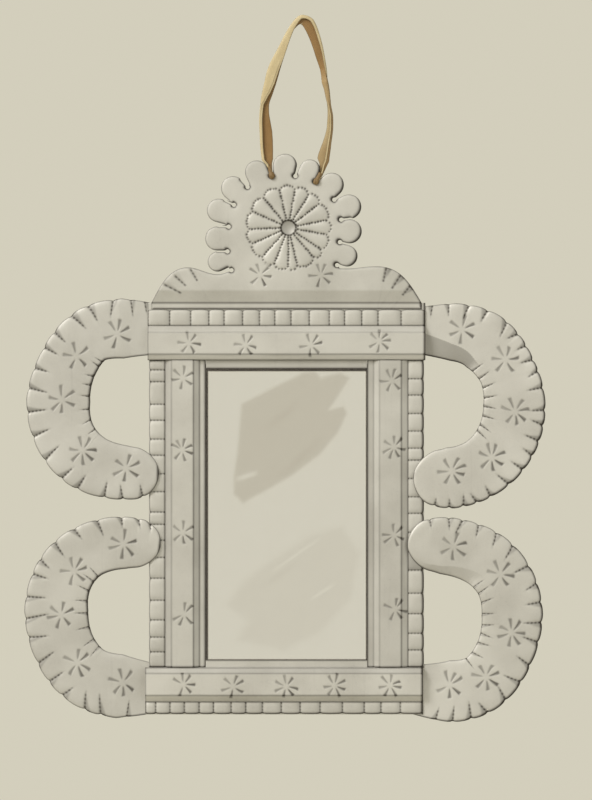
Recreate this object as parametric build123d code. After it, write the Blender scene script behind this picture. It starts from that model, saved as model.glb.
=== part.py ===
from build123d import *
import os
from math import atan, cos, pi, radians, sin, sqrt, tan

import numpy as np

# A hand-made tinwork wall mirror: a glass in a frame of bent strips, with scored edging strips,
# a lobed crest with an embossed rosette, four C-scrolls and a rawhide thong to hang it by.
# Every piece is drawn as it lies face up on the bench, in millimetres: X across the mirror,
# Y up it, and Z out of the wall. At the end each piece is stood up: X across, Z up, and the
# front faces -Y. The origin is the middle of the back plate's rear face.

os.makedirs("parts", exist_ok=True)

# Sheet, glass and what lies behind it
TIN = 0.5
GLASS = 2.0
SILVER = 0.1
CARD = 0.9
OPENING_WIDTH = 126.0
OPENING_HEIGHT = 227.0
GLASS_UNDER_LIP = 3.0
GLASS_PLAY = 0.5

# Bent strips of the frame: widths across each strip, from the opening outward
STILE_LIP = 5.0
TOP_LIP = 7.0
BOTTOM_LIP = 6.0
INNER_BEVEL = 4.5
FACE = 17.2
OUTER_BEVEL = 5.0
STILE_RISE = 3.0
RAIL_RISE = 5.5
RAIL_OVERHANG = 1.0
BOTTOM_RAIL_SHIFT = -1.8

# Scored edging strips
TOP_STRIP = 12.9
BOTTOM_STRIP = 9.8
SIDE_STRIP = 12.6
STRIP_CLEARANCE = 0.2
PILLOW_RISE = 1.4
PILLOW_BULGE = 0.9
PILLOW_PITCH = 13.8
SCORE_WIDTH = 4.6
STRIP_ARCH = [(0.25, 1.0), (0.8, 1.0), (1.0, 0.3)]  # share of the width, share of the rise

# Crest
CREST_FOOT = 5.0
CREST_INSET = 1.9
CREST_BEVEL = 9.6
CREST_RISE = 3.5
LOBE_RING = (-2.0, 58.4)  # across, and above the crest's lower edge
RING_RADIUS = 43.0
LOBES = [
    (207, 58.0, 7.8), (189, 52.7, 9.4), (165, 52.7, 9.2), (142, 50.3, 9.4), (116, 48.5, 9.1),
    (89, 48.5, 9.4), (66, 49.8, 8.0), (42, 50.3, 9.4), (18, 53.4, 9.6), (-3, 51.4, 9.4),
    (-24, 53.8, 8.3),
]  # angle, distance from the ring's middle, radius
NOTCHES = [
    (-42.9, 25.4, 191), (-46.0, 40.1, 180), (-45.1, 59.4, 179), (-41.0, 76.4, 155),
    (-30.3, 90.3, 132), (-11.5, 98.8, 103), (7.0, 98.8, 77), (22.9, 94.3, 55),
    (37.3, 80.4, 29), (42.7, 64.8, 8), (41.7, 47.3, -14), (39.5, 29.4, -14),
]  # the round eye at the bottom of each notch, across and up, and the way its slit runs out
EYE_RADIUS = 1.7
SLIT = 1.3
SLIT_LENGTH = 8.5
NECK = {-1: -44.5, 1: 41.0}
SHOULDERS = {
    -1: [(0.85, 16.0), (0.68, 25.5), (0.52, 27.6), (0.26, 23.2), (0.02, 24.2)],
    1: [(0.84, 15.8), (0.69, 24.6), (0.54, 28.0), (0.37, 28.2), (0.14, 26.7)],
}  # share of the way from the neck to the crest's end, and height above its lower edge

# Rosette on the crest
ROSETTE = (1.5, 58.5)
ROSETTE_RADIUS = 32.8
ROSETTE_PETALS = 16
PETAL_RISE = 1.0
PETAL_SHARE = 0.92
PETAL_GAP = 0.8
PETAL_ARCH = [(-1, 0), (-0.6, 0.75), (0, 1), (0.6, 0.75), (1, 0)]
PETAL_ROOT = 0.25
DISH_RADIUS = 5.8
DISH_DEPTH = 2.0
DISH_CURVE = [(0, 1), (0.5, 0.85), (0.85, 0.45), (1, 0)]

# C-scrolls: how far each tip stays from the middle of the mirror's height, and points of the
# middle line: outward past the rail's end, toward the tip from the rail's middle, and the
# width there. A route is stretched to reach its tip, whatever the height of the opening is.
SCROLL_TIPS = {"upper_left": 31.8, "upper_right": 30.2, "lower_left": 24.3, "lower_right": 23.2}
SCROLLS = {
    "upper_left": [
        (-8.6, -1.5, 39), (19.5, -2.3, 47), (42.9, 2.4, 44.5), (60.8, 22.7, 46), (69.8, 55.4, 50),
        (63.2, 84.3, 47.5), (44.5, 103.0, 46), (19.5, 110.0, 43), (-8.6, 111.0, 36.5),
    ],
    "upper_right": [
        (-7.0, -0.7, 36), (16.4, 0.1, 45), (39.8, 4.7, 48), (57.8, 20.3, 45), (69.5, 54.7, 49),
        (63.2, 85.1, 48.5), (44.5, 106.0, 47.5), (21.0, 114.2, 48), (-9.3, 112.6, 38),
    ],
    "lower_left": [
        (-6.2, 2.0, 38.6), (20.3, 3.5, 50), (44.5, 9.8, 48.5), (62.4, 28.5, 48.5),
        (71.2, 59.7, 50), (66.3, 87.8, 46.5), (50.7, 106.5, 42.5), (22.6, 115.6, 41),
        (-10.1, 113.5, 34.5),
    ],
    "lower_right": [
        (-7.8, 1.2, 39), (18.8, -0.4, 48.5), (42.2, 5.1, 46), (59.3, 24.6, 45.5),
        (67.9, 58.9, 48), (62.4, 84.7, 46), (46.8, 102.6, 46), (20.3, 112.7, 45),
        (-14.0, 114.6, 35),
    ],
}
SCROLL_DOME = 1.0
SCROLL_TUCK = 10.0
TIP_LENGTH = 18.0
TIP_STATIONS = (0.055, 0.014)
SCROLL_PITCH = 12.0
SCROLL_LINES = [(-0.5, 0, 0.4, 0), (-0.34, 1, 0.4, 0), (0.22, 1, 0, 0), (0.37, 1, 0, 0.7), (0.5, 0, 0, 0.5)]
# across the width, share of the dome, and of the swelling of the inner and the outer pillows

# Rawhide thong: the middle line of its loop, across and above the crest's lower edge
THONG_WIDTH = 8.0
THONG_THICK = 1.2
THONG_BEHIND = 0.4
THONG_NOTCHES = (5, 7)
THONG_ROUTE = [
    (-13.8, 113.9), (-15.6, 132.6), (-16.6, 149.8), (-14.4, 166.9), (-9.8, 184.1), (-2.9, 200.2),
    (3.8, 213.8), (9.6, 223.4), (15.8, 223.0), (20.9, 212.2), (25.4, 195.0), (29.3, 177.8),
    (32.8, 160.7), (34.3, 143.5), (32.2, 126.4), (28.2, 109.6),
]
ARC_SHARE = 0.45
KNOT_RADIUS = 2.3
KNOT_HEIGHT = 3.4
KNOT_STEM = 1.0

# Solder
SOLDER_FILM = 0.1
BEAD = 2.0
BEAD_LENGTH = 9.0
FILM_WIDTH = 4.0
FILM_INSET = 3.0
TACK = 2.2
TACK_SHARE = 0.65
FILM_SHARE = 0.7
CREST_BEADS = (-0.8, -0.3, 0.3, 0.8)
PLATE_BEADS = (-0.6, 0, 0.6)

# Heights out of the wall
lip_back = TIN + CARD + SILVER + GLASS
flange_front = lip_back + TIN
stile_front = flange_front + STILE_RISE
rail_front = flange_front + RAIL_RISE
strip_front = flange_front + TIN
strip_top = strip_front + PILLOW_RISE
foot_front = flange_front + TIN
crest_front = foot_front + CREST_RISE
crest_back = crest_front - TIN
scroll_low = lip_back - SOLDER_FILM
scroll_high = strip_top + TIN + SOLDER_FILM

# Places across and up the mirror
sight_x = OPENING_WIDTH / 2
sight_y = OPENING_HEIGHT / 2
raised_width = INNER_BEVEL + FACE + OUTER_BEVEL
stile_edge = sight_x + STILE_LIP + raised_width
frame_edge = stile_edge + SIDE_STRIP
rail_length = 2 * (frame_edge + RAIL_OVERHANG)
top_wall = sight_y + TOP_LIP
bottom_wall = sight_y + BOTTOM_LIP
top_flange = top_wall + raised_width
bottom_flange = bottom_wall + raised_width
crest_base = top_flange + TOP_STRIP + CREST_FOOT
crest_end = frame_edge - CREST_INSET
bottom_edge = bottom_flange + BOTTOM_STRIP
glass_width = OPENING_WIDTH + 2 * GLASS_UNDER_LIP
glass_height = OPENING_HEIGHT + 2 * GLASS_UNDER_LIP
pan_x = glass_width / 2 + GLASS_PLAY + TIN
pan_y = glass_height / 2 + GLASS_PLAY + TIN


# Shared workshop operations


def bent_sheet(front, length):
    """A strip bent along its length, from the (out, height) points of its front surface."""
    corners = [Vector(*point) for point in front]
    ahead = [(end - start).normalized() for start, end in zip(corners, corners[1:])]
    below = [Vector(run.Y, -run.X) for run in ahead]
    back = []
    for corner, before, after in zip(corners, [below[0], *below], [*below, below[-1]]):
        back.append(corner + (before + after) * (TIN / (1 + before.dot(after))))
    outline = Polyline(*corners, *reversed(back), close=True)
    return extrude(make_face(outline), length / 2, both=True)


def set_down(piece, inner_edge, outward):
    """Lays a bent strip in the frame, with its inner edge there and its width outward."""
    along = Vector(*outward).cross(Vector(0, 0, 1))
    return Plane(origin=inner_edge, x_dir=outward, z_dir=along) * piece


def lofted_sheet(lines):
    """A sheet of even thickness through lines of points, each across its front surface."""
    sections = []
    for front in lines:
        back = [(x, y, z - TIN) for x, y, z in reversed(front)]
        sections.append(Face(Wire.make_polygon([*front, *back])))
    return loft(sections, ruled=True)


def bead():
    """A bead of solder in a square corner: it runs along X, with its legs on -Y and -Z."""
    corner = make_face(Plane.YZ * Polyline((0, 0), (-BEAD, 0), (0, -BEAD), close=True))
    return extrude(corner, BEAD_LENGTH / 2, dir=(1, 0, 0), both=True)


# Frame of bent strips


def rail(lip, flange, up, shift):
    """A rail, stepped on its inner side so that the stiles butt against the step."""
    wall = lip + INNER_BEVEL
    front = [
        (0, flange_front),
        (lip, flange_front),
        (lip, stile_front),
        (wall, rail_front),
        (wall + FACE, rail_front),
        (lip + raised_width, flange_front),
        (lip + raised_width + flange, flange_front),
    ]
    strip = bent_sheet(front, rail_length)
    whole = Pos(shift, 0, 0) * set_down(strip, (0, up * sight_y, 0), (0, up, 0))
    for side in (-1, 1):
        beside = Pos(side * (sight_x + rail_length / 2), up * (sight_y + lip / 2), flange_front)
        whole -= beside * Box(rail_length, lip, 4 * TIN)
    return whole


def stile():
    """A stile, a plain raised strip between the steps of the two rails."""
    face = STILE_LIP + INNER_BEVEL
    front = [
        (0, flange_front),
        (STILE_LIP, flange_front),
        (face, stile_front),
        (face + FACE, stile_front),
        (STILE_LIP + raised_width, flange_front),
        (STILE_LIP + raised_width + SIDE_STRIP, flange_front),
    ]
    return bent_sheet(front, top_wall + bottom_wall)


stile_middle = (top_wall - bottom_wall) / 2
top_rail = rail(TOP_LIP, TOP_STRIP + CREST_FOOT, 1, 0)
bottom_rail = rail(BOTTOM_LIP, BOTTOM_STRIP, -1, BOTTOM_RAIL_SHIFT)
left_stile = set_down(stile(), (-sight_x, stile_middle, 0), (-1, 0, 0))
right_stile = set_down(stile(), (sight_x, stile_middle, 0), (1, 0, 0))


# Scored edging strips


def scored_strip(length, width):
    """A strip along X, arched and scored across into pillows; its outer edge is at +Y."""
    outer = width - STRIP_CLEARANCE
    arch = [(STRIP_CLEARANCE, 0), (STRIP_CLEARANCE, strip_front)]
    for share, rise in STRIP_ARCH:
        arch.append((min(share * width, outer), strip_front + rise * PILLOW_RISE))
    arch.append((outer, 0))
    bar = extrude(Plane.YZ * make_face(Polyline(*arch, close=True)), length / 2, both=True)
    pillows = round(length / PILLOW_PITCH)
    pitch = length / pillows
    score = [(-SCORE_WIDTH / 2, strip_top), (0, strip_front), (SCORE_WIDTH / 2, strip_top)]
    score = extrude(Plane.XZ * make_face(Polyline(*score, close=True)), width, both=True)
    nick = [(-SCORE_WIDTH / 2, outer), (0, outer - PILLOW_BULGE), (SCORE_WIDTH / 2, outer)]
    nick = extrude(make_face(Polyline(*nick, close=True)), strip_top)
    for number in range(pillows + 1):
        bar -= Pos((number - pillows / 2) * pitch, 0, 0) * (score + nick)
    return bar - Pos(0, 0, -TIN) * bar - Box(length, 4 * width, 2 * (strip_front - TIN))


side_length = top_wall + bottom_wall - 2 * STRIP_CLEARANCE
upright_strip = scored_strip(side_length, SIDE_STRIP)
top_strip = Pos(0, top_flange, 0) * scored_strip(rail_length, TOP_STRIP)
bottom_strip = Rot(0, 0, 180) * scored_strip(rail_length, BOTTOM_STRIP)
bottom_strip = Pos(BOTTOM_RAIL_SHIFT, -bottom_flange, 0) * bottom_strip
left_strip = Pos(-stile_edge, stile_middle, 0) * Rot(0, 0, 90) * upright_strip
right_strip = Pos(stile_edge, stile_middle, 0) * Rot(0, 0, -90) * upright_strip


# Crest


def on_crest(point):
    """A place on the crest, from its distance across and above the crest's lower edge."""
    return Vector(point[0], crest_base + point[1], 0)


def crest_outline():
    """The crest seen from the front: shoulders, and lobes that run out from a round middle."""
    ring = on_crest(LOBE_RING)
    bottom = crest_base - CREST_FOOT
    plan = Pos(*ring) * Circle(RING_RADIUS)
    for side, shoulder in SHOULDERS.items():
        foot = on_crest((side * crest_end, 0))
        neck = NECK[side]
        upper = [on_crest((neck + share * (foot.X - neck), up)) for share, up in shoulder]
        half = Spline(foot, *upper)
        half += Polyline(upper[-1], (neck, upper[-1].Y), (neck, ring.Y), (0, ring.Y))
        half += Polyline((0, ring.Y), (0, bottom), (foot.X, bottom), foot)
        plan += make_face(half)
    for angle, reach, radius in LOBES:
        tongue = Pos(reach / 2, 0) * Rectangle(reach, 2 * radius) + Pos(reach, 0) * Circle(radius)
        plan += Pos(*ring) * Rot(0, 0, angle) * tongue
    for across, up, angle in NOTCHES:
        slit = Pos(SLIT_LENGTH / 2, 0) * Rectangle(SLIT_LENGTH, SLIT)
        plan -= Pos(*on_crest((across, up))) * Rot(0, 0, angle) * (Circle(EYE_RADIUS) + slit)
    return plan.faces().sort_by(SortBy.AREA)[-1]


def petal():
    """One petal of the rosette: a low arch that widens outward and closes in a round end."""
    widest = (ROSETTE_RADIUS - DISH_RADIUS) * sin(pi / ROSETTE_PETALS)
    round_end = ROSETTE_RADIUS - widest
    stations = [(DISH_RADIUS + PETAL_GAP, PETAL_ROOT), (round_end, 1.0)]
    for turn in (50, 82):
        stations.append((round_end + widest * sin(radians(turn)), cos(radians(turn))))
    sections = []
    for reach, share in stations:
        half_width = PETAL_SHARE * widest * share
        corners = []
        for across, up in PETAL_ARCH:
            corners.append((reach, half_width * across, PETAL_RISE * share * up))
        sections.append(Face(Wire.make_polygon(corners)))
    return loft(sections, ruled=True)


def dish():
    """The round dish in the middle of the rosette, turned from a stepped profile."""
    profile = [(DISH_RADIUS * out, -DISH_DEPTH * down) for out, down in DISH_CURVE]
    return revolve(Plane.XZ * make_face(Polyline((0, 0), *profile, close=True)), Axis.Z)


def crest():
    """The crest plate: one sheet, bent back to its foot, cut round its lobes and embossed."""
    tallest = LOBE_RING[1] + max(reach + radius for _, reach, radius in LOBES)
    front = [
        (-CREST_FOOT, foot_front),
        (0, foot_front),
        (CREST_BEVEL, crest_front),
        (tallest, crest_front),
    ]
    sheet = set_down(bent_sheet(front, rail_length), (0, crest_base, 0), (0, 1, 0))
    plate = sheet & extrude(crest_outline(), crest_front + TIN)
    middle = Pos(*on_crest(ROSETTE))
    leaf = petal()
    petals = []
    for number in range(ROSETTE_PETALS):
        petals.append(middle * Rot(0, 0, 360 * (number + 0.5) / ROSETTE_PETALS) * leaf)
    hollow = middle * dish()
    plate += [Pos(0, 0, crest_front) * swelling for swelling in petals]
    plate += Pos(0, 0, crest_back) * hollow
    plate -= [Pos(0, 0, crest_back) * swelling for swelling in petals]
    return plate - Pos(0, 0, crest_front) * hollow


crest_plate = crest()


# C-scrolls


def scroll(name):
    """A C-scroll: one end under the rail's flange, the round tip over the side strip."""
    side = -1 if "left" in name else 1
    up = 1 if "upper" in name else -1
    route = SCROLLS[name]
    rail_end = rail_length / 2
    rail_middle = (top_wall + crest_base) / 2 if up > 0 else (bottom_wall + bottom_edge) / 2
    stretch = (rail_middle - SCROLL_TIPS[name]) / route[-1][1]
    points = []
    for out, toward, _ in route:
        points.append((side * (rail_end + out), up * (rail_middle - stretch * toward)))
    middle_line = Spline(*points)
    length = middle_line.length
    pillows = round(length / SCROLL_PITCH)
    marks = np.linspace(0, length, len(route))
    widths = [width for _, _, width in route]
    stations = [length * step / (3 * pillows) for step in range(3 * pillows)]
    stations += [length - share * TIP_LENGTH for share in TIP_STATIONS]
    lines = []
    for step, along in enumerate(stations):
        past_tip = max(0, 1 - (length - along) / TIP_LENGTH)
        width = np.interp(along, marks, widths) * sqrt(1 - past_tip**2)
        open_share = np.interp(along, [SCROLL_TUCK, 2 * SCROLL_TUCK], [0, 1])
        swell = open_share * PILLOW_RISE * sin(pi * (step % 3) / 3) / sin(pi / 3)
        inner_swell = open_share * PILLOW_RISE * sin(pi * (step % 6) / 6)
        low = np.interp(along, [SCROLL_TUCK, length - TIP_LENGTH], [scroll_low, scroll_high])
        across = []
        for place, dome, inner, outer in SCROLL_LINES:
            height = low + dome * open_share * SCROLL_DOME + inner * inner_swell + outer * swell
            across.append((place * width, height))
        bulge = PILLOW_BULGE * swell / PILLOW_RISE
        across[-1] = (width / 2 + bulge, across[-1][1])
        share = along / length
        place = middle_line @ share
        heading = middle_line % share
        out = Vector(heading.Y, -heading.X) * (-side * up)
        lines.append([(place.X + out.X * d, place.Y + out.Y * d, h) for d, h in across])
    return lofted_sheet(lines)


scrolls = {name: scroll(name) for name in SCROLLS}


# Glass and what holds it


def sheet_behind(back, thickness):
    """A flat layer of the glass's size."""
    layer = Box(glass_width, glass_height, thickness, align=(Align.CENTER, Align.CENTER, Align.MIN))
    return Pos(0, 0, back) * layer


backing_card = sheet_behind(TIN, CARD)
silvering = sheet_behind(TIN + CARD, SILVER)
mirror_glass = sheet_behind(TIN + CARD + SILVER, GLASS)
upright = (Align.CENTER, Align.CENTER, Align.MIN)
back_plate = Box(2 * pan_x, 2 * pan_y, lip_back, align=upright)
back_plate -= Pos(0, 0, TIN) * Box(2 * (pan_x - TIN), 2 * (pan_y - TIN), lip_back, align=upright)


# Thong and its knots


def loop_path(points):
    """Straight runs joined by arcs, each as large as the two runs beside it allow."""
    runs = [end - start for start, end in zip(points, points[1:])]
    radii = []
    for before, after in zip(runs, runs[1:]):
        half_turn = radians(before.get_angle(after) / 2)
        radii.append(ARC_SHARE * min(before.length, after.length) / tan(half_turn))
    print("thong bends", [round(radius, 1) for radius in radii])
    return FilletPolyline(*points, radius=radii)


left_eye, right_eye = [on_crest(NOTCHES[number]) for number in THONG_NOTCHES]
thong_height = crest_back - THONG_BEHIND - THONG_THICK / 2
route = [left_eye, *[on_crest(point) for point in THONG_ROUTE], right_eye]
loop = loop_path(route)
across_loop = Vector(0, 0, 1).cross(loop % 0)
start = Plane(origin=loop @ 0, x_dir=across_loop, z_dir=loop % 0)
strap = sweep(start * Rectangle(THONG_WIDTH, THONG_THICK), path=loop)
fold_line = Plane(origin=left_eye, x_dir=right_eye - left_eye, z_dir=(0, 0, 1))
below_fold = fold_line * Pos(0, -THONG_WIDTH, 0) * Box(rail_length, 2 * THONG_WIDTH, 2)
hanging_thong = Pos(0, 0, thong_height) * (strap - below_fold)
plain_volume = loop.length * THONG_WIDTH * THONG_THICK
print("thong length", round(loop.length, 1), "volume ratio", round(strap.volume / plain_volume, 4))


def knot(eye):
    """The thong's end, drawn through the eye of a notch and knotted in front of the sheet."""
    stem = Pos(0, 0, crest_back) * extrude(RegularPolygon(KNOT_STEM, 8), TIN)
    lump = Pos(0, 0, crest_front) * extrude(RegularPolygon(KNOT_RADIUS, 8), KNOT_HEIGHT)
    rims = lump.edges().group_by(Axis.Z)
    lump = chamfer(rims[-1], 0.5 * KNOT_HEIGHT, 0.4 * KNOT_HEIGHT)
    return Pos(eye.X, eye.Y, 0) * (stem + lump)


# Solder


def corner_beads():
    """A bead inside each end of the stiles, against the step of the rail."""
    beads = []
    for side in (-1, 1):
        across = side * (sight_x + STILE_LIP + INNER_BEVEL + FACE / 2)
        beads.append(Pos(across, top_wall, stile_front - TIN) * bead())
        beads.append(Pos(across, -bottom_wall, stile_front - TIN) * Rot(0, 0, 180) * bead())
    return beads


def crest_beads():
    """Beads behind the crest, between its bend and the top rail's edge."""
    slope = atan(CREST_RISE / CREST_BEVEL)
    bend = TIN * tan(slope / 2)
    corner = [(0, -TIN), (0, 0), (bend, 0), (BEAD, (BEAD - bend) * tan(slope))]
    wedge = make_face(Plane.YZ * Polyline(*corner, close=True))
    wedge = extrude(wedge, BEAD_LENGTH / 2, dir=(1, 0, 0), both=True)
    places = [share * crest_end for share in CREST_BEADS]
    return [Pos(across, crest_base, flange_front) * wedge for across in places]


def plate_beads():
    """Tacks round the back plate's rim, against the lips of the frame."""
    beads = []
    for share in PLATE_BEADS:
        beads.append(Pos(share * pan_x, pan_y, lip_back) * Rot(0, 0, 180) * bead())
        beads.append(Pos(share * pan_x, -pan_y, lip_back) * bead())
        beads.append(Pos(-pan_x, share * pan_y, lip_back) * Rot(0, 0, -90) * bead())
        beads.append(Pos(pan_x, share * pan_y, lip_back) * Rot(0, 0, 90) * bead())
    return beads


def scroll_tacks():
    """A film of solder on each tucked end, and a tack under each tip on the strip's pillow."""
    pillows = round(side_length / PILLOW_PITCH)
    pitch = side_length / pillows
    tacks = []
    for side in (-1, 1):
        for up in (-1, 1):
            flange = crest_base - top_flange if up > 0 else BOTTOM_STRIP
            middle = crest_base - flange / 2 if up > 0 else bottom_edge - flange / 2
            film = Box(FILM_WIDTH, FILM_SHARE * flange, SOLDER_FILM)
            over_end = side * (frame_edge - FILM_INSET)
            tacks.append(Pos(over_end, up * middle, lip_back - SOLDER_FILM / 2) * film)
    for name in SCROLLS:
        side = -1 if "left" in name else 1
        up = 1 if "upper" in name else -1
        pillow = round((up * SCROLL_TIPS[name] - stile_middle) / pitch + (pillows - 1) / 2)
        along = stile_middle + (pillow - (pillows - 1) / 2) * pitch
        height = SCROLL_DOME + SOLDER_FILM
        place = Pos(side * (stile_edge + TACK_SHARE * SIDE_STRIP), along, strip_top + height / 2)
        tacks.append(place * Box(TACK, TACK, height))
    return tacks


pieces = {
    "top_rail": top_rail,
    "bottom_rail": bottom_rail,
    "left_stile": left_stile,
    "right_stile": right_stile,
    "top_scored_strip": top_strip,
    "bottom_scored_strip": bottom_strip,
    "left_scored_strip": left_strip,
    "right_scored_strip": right_strip,
    "crest_plate": crest_plate,
    **{f"{name}_scroll": piece for name, piece in scrolls.items()},
    "back_plate": back_plate,
    "backing_card": backing_card,
    "silvering": silvering,
    "mirror_glass": mirror_glass,
    "hanging_thong": hanging_thong,
    "left_thong_knot": knot(left_eye),
    "right_thong_knot": knot(right_eye),
    "corner_solder": Compound(corner_beads()),
    "crest_solder": Compound(crest_beads()),
    "back_plate_solder": Compound(plate_beads()),
    "scroll_solder": Compound(scroll_tacks()),
}
for name, piece in pieces.items():
    export_step(Rot(90, 0, 0) * piece, f"parts/{name}.step")
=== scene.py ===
from math import cos, pi, radians, sin, sqrt

import bmesh
import bpy
import numpy as np
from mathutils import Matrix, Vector, kdtree
from mathutils.geometry import delaunay_2d_cdt


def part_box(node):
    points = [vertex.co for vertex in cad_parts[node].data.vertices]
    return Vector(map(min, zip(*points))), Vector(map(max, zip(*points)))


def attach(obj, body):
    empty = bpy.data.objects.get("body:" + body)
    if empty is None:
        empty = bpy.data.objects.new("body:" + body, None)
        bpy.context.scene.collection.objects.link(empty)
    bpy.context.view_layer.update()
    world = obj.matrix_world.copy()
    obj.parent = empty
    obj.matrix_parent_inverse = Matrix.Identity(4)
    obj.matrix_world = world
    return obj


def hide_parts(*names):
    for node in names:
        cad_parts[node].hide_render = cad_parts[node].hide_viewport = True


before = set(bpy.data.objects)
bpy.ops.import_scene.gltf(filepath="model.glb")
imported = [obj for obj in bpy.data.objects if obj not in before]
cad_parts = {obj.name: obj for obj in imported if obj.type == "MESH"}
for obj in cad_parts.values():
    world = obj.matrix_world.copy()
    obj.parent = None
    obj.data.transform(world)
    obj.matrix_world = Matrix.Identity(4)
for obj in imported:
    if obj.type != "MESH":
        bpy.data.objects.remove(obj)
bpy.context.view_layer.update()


# The frame: two rails and two stiles. Each is a strip of tinplate half a millimetre thick, bent
# along its length over a stake into a lip, two bevels and a flat face, then struck from the front
# with a petal-shaped punch, five to seven blows to a star.

MM = 0.001  # places are in millimetres: across the mirror, up it, and out from the wall
TIN = 0.5


def reach(node):
    """Left, right, low and high ends of a solid, in millimetres."""
    low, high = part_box(node)
    return low.x / MM, high.x / MM, low.z / MM, high.z / MM


def new_finish(name):
    """A new material, with the tree that its nodes go in and its shader."""
    finish = bpy.data.materials.new(name)
    finish.use_nodes = True
    return finish, finish.node_tree, finish.node_tree.nodes["Principled BSDF"]


def feed(tree, socket, value):
    """Join a node's output to a socket, or set the socket to a number or a colour."""
    if isinstance(value, bpy.types.NodeSocket):
        tree.links.new(value, socket)
    elif isinstance(value, tuple):
        socket.default_value = (*value, 1)
    else:
        socket.default_value = value


def surface_place(tree):
    """Where each point of a surface is, in metres."""
    return tree.nodes.new("ShaderNodeTexCoord").outputs["Object"]


def reading(tree, name):
    """What a mesh says of each of its points, such as how dirty it is."""
    attribute = tree.nodes.new("ShaderNodeAttribute")
    attribute.attribute_name = name
    return attribute.outputs["Fac"]


def noise(tree, place, scale, detail=2):
    """Cloudy noise from 0 to 1, finer as its scale goes up."""
    texture = tree.nodes.new("ShaderNodeTexNoise")
    texture.inputs["Scale"].default_value = scale
    texture.inputs["Detail"].default_value = detail
    tree.links.new(place, texture.inputs["Vector"])
    return texture.outputs["Fac"]


def ramp(tree, value, low, high, start, end):
    """A number that goes from start to end as the value goes from low to high."""
    spread = tree.nodes.new("ShaderNodeMapRange")
    for socket, part in zip(spread.inputs, (value, low, high, start, end)):
        feed(tree, socket, part)
    return spread.outputs[0]


def reckon(tree, way, *values):
    """Some readings and numbers, added, multiplied or compared."""
    sum_of = tree.nodes.new("ShaderNodeMath")
    sum_of.operation = way
    for socket, value in zip(sum_of.inputs, values):
        feed(tree, socket, value)
    return sum_of.outputs[0]


def mix(tree, share, first, second, way="MIX"):
    """The first colour with a share of the second laid over it."""
    blend = tree.nodes.new("ShaderNodeMix")
    blend.data_type = "RGBA"
    blend.blend_type = way
    for socket, value in ((0, share), (6, first), (7, second)):
        feed(tree, blend.inputs[socket], value)
    return blend.outputs[2]


def bumps(tree, height, strength, depth, under=None):
    """Fine relief of a given depth in metres, over another relief if there is one."""
    bump = tree.nodes.new("ShaderNodeBump")
    bump.inputs["Strength"].default_value = strength
    bump.inputs["Distance"].default_value = depth
    tree.links.new(height, bump.inputs["Height"])
    if under:
        tree.links.new(under, bump.inputs["Normal"])
    return bump.outputs[0]


# The dark colour that dirt and painted shade mix the tin toward.
GRIME_AND_SHADE = (0.06, 0.052, 0.042)


def tinplate(name, light, dark, seed):
    """Old dull tinplate: cloudy grey, fine scratches, dents, and the darkening that the mesh reads:
    dirt where the sheet holds it, and painted shade.
    """
    finish, tree, shader = new_finish(name)
    shader.inputs["Metallic"].default_value = 0.5
    shift = tree.nodes.new("ShaderNodeVectorMath")
    shift.inputs[1].default_value = (seed, 2.7 * seed, 1.3 * seed)
    tree.links.new(surface_place(tree), shift.inputs[0])
    place = shift.outputs[0]
    upright = tree.nodes.new("ShaderNodeVectorMath")
    upright.operation = "MULTIPLY"
    upright.inputs[1].default_value = (1, 1, 0.05)
    tree.links.new(place, upright.inputs[0])
    clouds = ramp(tree, noise(tree, place, 22, 5), 0.35, 0.7, 0, 1)
    speckle = ramp(tree, noise(tree, place, 700, 3), 0.55, 0.8, 0, 0.35)
    scratches = ramp(tree, noise(tree, upright.outputs[0], 260), 0.6, 0.75, 0, 0.4)
    colour = mix(tree, clouds, light, dark)
    specks = reckon(tree, "MULTIPLY", speckle, clouds)
    colour = mix(tree, specks, colour, tuple(0.75 * part for part in dark))
    # Dirt and painted shade, read from the mesh, darken the colour.
    colour = mix(tree, reading(tree, "dirt_and_painted_light"), colour, GRIME_AND_SHADE)
    tree.links.new(colour, shader.inputs["Base Color"])
    rough = reckon(tree, "ADD", reckon(tree, "MULTIPLY", scratches, 0.35), 0.55)
    rough = reckon(tree, "ADD", rough, reckon(tree, "MULTIPLY", clouds, 0.1))
    tree.links.new(rough, shader.inputs["Roughness"])
    hammered = bumps(tree, noise(tree, place, 90, 3), 0.25, 0.0006)
    grained = bumps(tree, noise(tree, place, 1400), 0.15, 0.00008, hammered)
    tree.links.new(grained, shader.inputs["Normal"])
    return finish


def smooth_mesh(name, points, faces, finish, readings):
    """A smooth mesh that faces outward, with what its finish reads at each point."""
    mesh = bpy.data.meshes.new(name)
    mesh.from_pydata(points.tolist(), [], faces)
    mesh.polygons.foreach_set("use_smooth", [True] * len(faces))
    for reading_name, values in readings.items():
        layer = mesh.attributes.new(reading_name, "FLOAT", "POINT")
        layer.data.foreach_set("value", np.asarray(values, np.float32))
    worked = bmesh.new()
    worked.from_mesh(mesh)
    bmesh.ops.delete(worked, geom=[v for v in worked.verts if not v.link_faces], context="VERTS")
    bmesh.ops.recalc_face_normals(worked, faces=worked.faces)
    worked.to_mesh(mesh)
    worked.free()
    mesh.materials.append(finish)
    return mesh


def in_metres(points):
    """Places across, up and out in millimetres, turned into the frame's metres."""
    return np.stack([points[:, 0], -points[:, 2], points[:, 1]], axis=1) * MM


def fit_piece(name, mesh, node, body="mirror"):
    """Put a finished mesh in the place of its solid, on the body that carries it."""
    piece = bpy.data.objects.new(name, mesh)
    bpy.context.scene.collection.objects.link(piece)
    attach(piece, body)
    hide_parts(node)
    return piece


def upright_normals(points):
    """The way out of the front of a grid of points, at each of them."""
    down = np.gradient(points, axis=0)
    along = np.gradient(points, axis=1)
    out = np.cross(down, along)
    out /= np.linalg.norm(out, axis=2, keepdims=True) + 1e-9
    return out * np.where(out[..., 2:] < 0, -1, 1)


BACK_DIRT_AND_SHADE = 0.6  # how much of the front's dirt and painted shade is laid on the back too


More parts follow.
